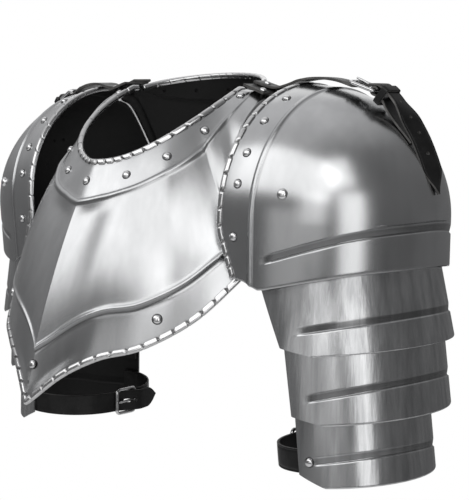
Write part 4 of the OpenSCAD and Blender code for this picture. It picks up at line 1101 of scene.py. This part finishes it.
rows, lean = [], tan(radians(12.7))
for a, off in zip(DIRS, BUTTONS):
    d, z = float(np.linalg.norm(off)) - PLATE_T - LEATHER_T / 2 - 2.6, button_level[2]
    rows.append([(d - 7 * lean, z + 7), (d + 6 * lean, z - 6), (hang_d(0, a), LAME_TOP[0] + 38),
                 (hang_d(0, a), hang_end(0))])
hung("dome_leathers", "pauldron", rows)
for k in range(3):
    rows = []
    for a in DIRS:
        d, z = strip_d(k, a) - LEATHER_T / 2, LAME_TOP[k] + REACH
        if k < 2:
            e, low = hang_d(k + 1, a), LAME_TOP[k + 1] + REACH + TRAVEL + 3
            rows.append([(d, z), (d, low + SLANT), (e, low), (e, hang_end(k + 1))])
        else:
            rows.append([(d, z), (d, LAME_TOP[k] - 22)])
    hung(f"lame_{k + 1}_leathers", f"lame_{k + 1}", rows)

# Arm strap round the lowest lame, in the level frame
ARM_Z, ARM_X, ARM_B = EDGE_Z[3] + 24, 194, V(117, 26)
AT_ARM = shift(ARM_B[0], ARM_B[1], ARM_Z) @ rot("Z", 90) @ rot("X", -90)


def arm_in(x, s):
    """Point inside the lame, in front (s = -1) or behind."""
    r = lame_rad(2, ARM_Z + STRAP_W / 2) - (PLATE_T + LEATHER_T / 2 + 0.3)
    return V(x, LAME_C[2][1] + s * sqrt(r * r - (x - LAME_C[2][0]) ** 2))


def arm_from(x, z):
    return ARM_B + V(-z, x)


line = [arm_in(ARM_X + 7, -1), arm_in(ARM_X - 6, -1), arm_in(176, -1) + V(0, 0.4), V(158, -45), V(140, -34),
        V(127, -17), V(121.5, 0), arm_from(-BAR, -UNDER_BAR), arm_from(-BAR + 3, -UNDER_BAR),
        arm_from(BAR, OVER_BAR), arm_from(BAR + 6, OVER_BAR - 0.4), V(115, 60), V(121, 74)]
path = np.insert(smooth_path(line, 1.2), 2, ARM_Z, axis=1)
for s, m in SIDES:
    at = m @ TILT
    ob = strap(move(at, path), -at[:3, 2], STRAP_W, tip=20.0).piece(s + "_arm_strap_leather", LEATHERS)
    cut_away(ob, [prong_slot(at @ AT_ARM)])
    finish_piece(ob, "lame_3_" + s, s + "_arm_strap")
line = [V(120.6, 47), V(124, 58), V(131, 71), V(143, 84), V(159, 95), arm_in(177, 1) - V(0, 0.4),
        arm_in(ARM_X - 6, 1), arm_in(ARM_X + 7, 1)]
tail = [(y - ARM_B[1], ARM_B[0] - x) for x, y in line]
chape(tail, TILT @ AT_ARM, "arm_buckle_chape", "lame_3", "arm_strap_chape")
buckle("arm_buckle", "lame_3", "arm_prong", TILT @ AT_ARM)

# Flush rivets of the lames, and the two dome-headed ones of the arm strap
for k in range(3):
    b = Build()
    for a in DIRS:
        z = LAME_TOP[k] - RIVET_DROP
        low, high = strip_d(k, a) - LEATHER_T - 0.8, lame_reach(k, a, z, 0) + 0.9
        p = lathe([(0.02, low), (1.1, low), (1.5, low + 0.3), (1.5, high), (0.02, high)], 20)
        b.grid(move(at_hub(a, z) @ rot("Y", 90), p), wrap=True)
    for side in (-1, 1) if k == 2 else ():
        r = lame_rad(2, ARM_Z)
        a = side * degrees(acos((ARM_X - LAME_C[2][0]) / r))
        rivet(b, shift(*LAME_C[2], ARM_Z) @ rot("Z", a) @ rot("Y", 90) @ shift(0, 0, r + 0.05), 8.4, 0.36, 5)
    name = f"lame_{k + 1}"
    b.pair(name + "_rivet_heads", HEADS, name, name + "_rivets", "rivet_steel", TILT)

# Studio, in metres: pale floor, white backdrop behind, soft lamps


def stage_white(name, glow=False):
    """Pale grey; with glow it is plain white to the camera and in reflections."""
    n = material(name)
    plain = n.new("BsdfDiffuse", "BSDF", {"Color": n.ramp(n.noise(3.0, 2), (0.0, 0.9), (1.0, 0.94))})
    if not glow:
        return n.done(plain)
    white = n.new("Emission", "Emission", {"Color": (1, 1, 1, 1), "Strength": 1.0})
    ray = n.new("LightPath").outputs
    seen = n.most(n.most(ray["Is Camera Ray"], ray["Is Glossy Ray"]), ray["Is Transmission Ray"])
    return n.done(n.new("MixShader", "Shader", {0: seen, 1: plain, 2: white}))


PSI, FLOOR_R, FLOOR_Z, BEND = 43.77, 2.7, -1.42, 2.0
floor = bpy.data.meshes.new("studio_floor")
floor.from_pydata([(x, y, FLOOR_Z) for x, y in arc(FLOOR_R, 0, 356.25, 96)], [], [tuple(range(96))])
floor.materials.append(stage_white("floor_white"))
place("studio_floor", floor)
profile = [(FLOOR_R, FLOOR_Z)]
profile += [(FLOOR_R + BEND * s, FLOOR_Z + BEND * (1 - c)) for c, s in arc(1, 8, 90, 12)]
profile += [(FLOOR_R + BEND, 5.0)]
wall = [[(x, y, z) for x, y in arc(r, PSI + 72, PSI + 108, 20)] for r, z in profile]
Build().grid(np.array(wall) * 1000).piece("studio_backdrop", [stage_white("backdrop_white", True)])

world = bpy.data.worlds.new("studio_world")
bpy.context.scene.world = world
n = Nodes(world, "OutputWorld")
up = n.new("VectorMath", "Value", {0: n.new("TexCoord", "Generated"), 1: (-0.47, 0.171, 0.866)},
           operation="DOT_PRODUCT")
up = n.new("Math", 0, {0: up, 1: 0.5, 2: 0.5}, operation="MULTIPLY_ADD")
tones = (0, 0.12), (0.6, 0.15), (0.76, 0.2), (0.92, 0.58), (1, 0.68)
sky = n.ramp(up, *((at, (t, t, t * 1.01)) for at, t in tones))
n.done(n.new("Background", 0, {"Color": sky, "Strength": 1.0}))


def aim(ob, x, z, at):
    m = np.eye(4)
    m[:3] = points(x, np.cross(z, x), z, at)
    ob.matrix_world = Matrix(m.tolist())


def lamp(name, az, el, dist, wide, tall, glow, mid=V(0.08, -0.02, -0.15)):
    """A soft box at azimuth az (0 is in front, 90 at the wearer's left) and elevation el, in degrees.
    wide and tall are in degrees as seen from the object, glow is the radiance of its face."""
    data = bpy.data.lights.new(name, "AREA")
    data.shape = "RECTANGLE"
    data.size, data.size_y = (2 * dist * tan(radians(a / 2)) for a in (wide, tall))
    data.energy = glow * pi * data.size * data.size_y
    ob = place(name, data)
    a, e = radians(az), radians(el)
    z = V(sin(a) * cos(e), -cos(a) * cos(e), sin(e))
    aim(ob, unit(np.cross(V(0, 0, 1), z)), z, z * dist + mid)
    ob.visible_camera = False


lamp("key_box", 0, 40, 2.4, 82, 38, 1.4)
lamp("side_strip", 61.5, 6, 2.5, 21, 38, 1.5)
lamp("front_strip", 31, 9, 2.6, 18, 28, 1.05)
lamp("front_low", 10, -2, 2.6, 26, 22, 0.45)
lamp("side_top", 66, 40, 0.8, 20, 26, 1.3, V(0.08, -0.12, -0.1))

# Camera of the photograph, of 469 x 500 pixels
cam_data = bpy.data.cameras.new("photo_camera")
cam_data.sensor_width = 36
cam_data.lens = 1340.4 * 36 / 500
cam_data.clip_start, cam_data.clip_end = 0.05, 60
cam = place("photo_camera", cam_data)
psi, pitch, roll = radians(PSI), radians(7.07), radians(0.79)
d = V(-sin(psi) * cos(pitch), cos(psi) * cos(pitch), -sin(pitch))
r = V(cos(psi), sin(psi), 0)
aim(cam, cos(roll) * r + sin(roll) * np.cross(r, d), -d, V(0.9916, -0.9576, 0.00846))
bpy.context.scene.camera = cam
bpy.context.scene.view_settings.view_transform = "Standard"
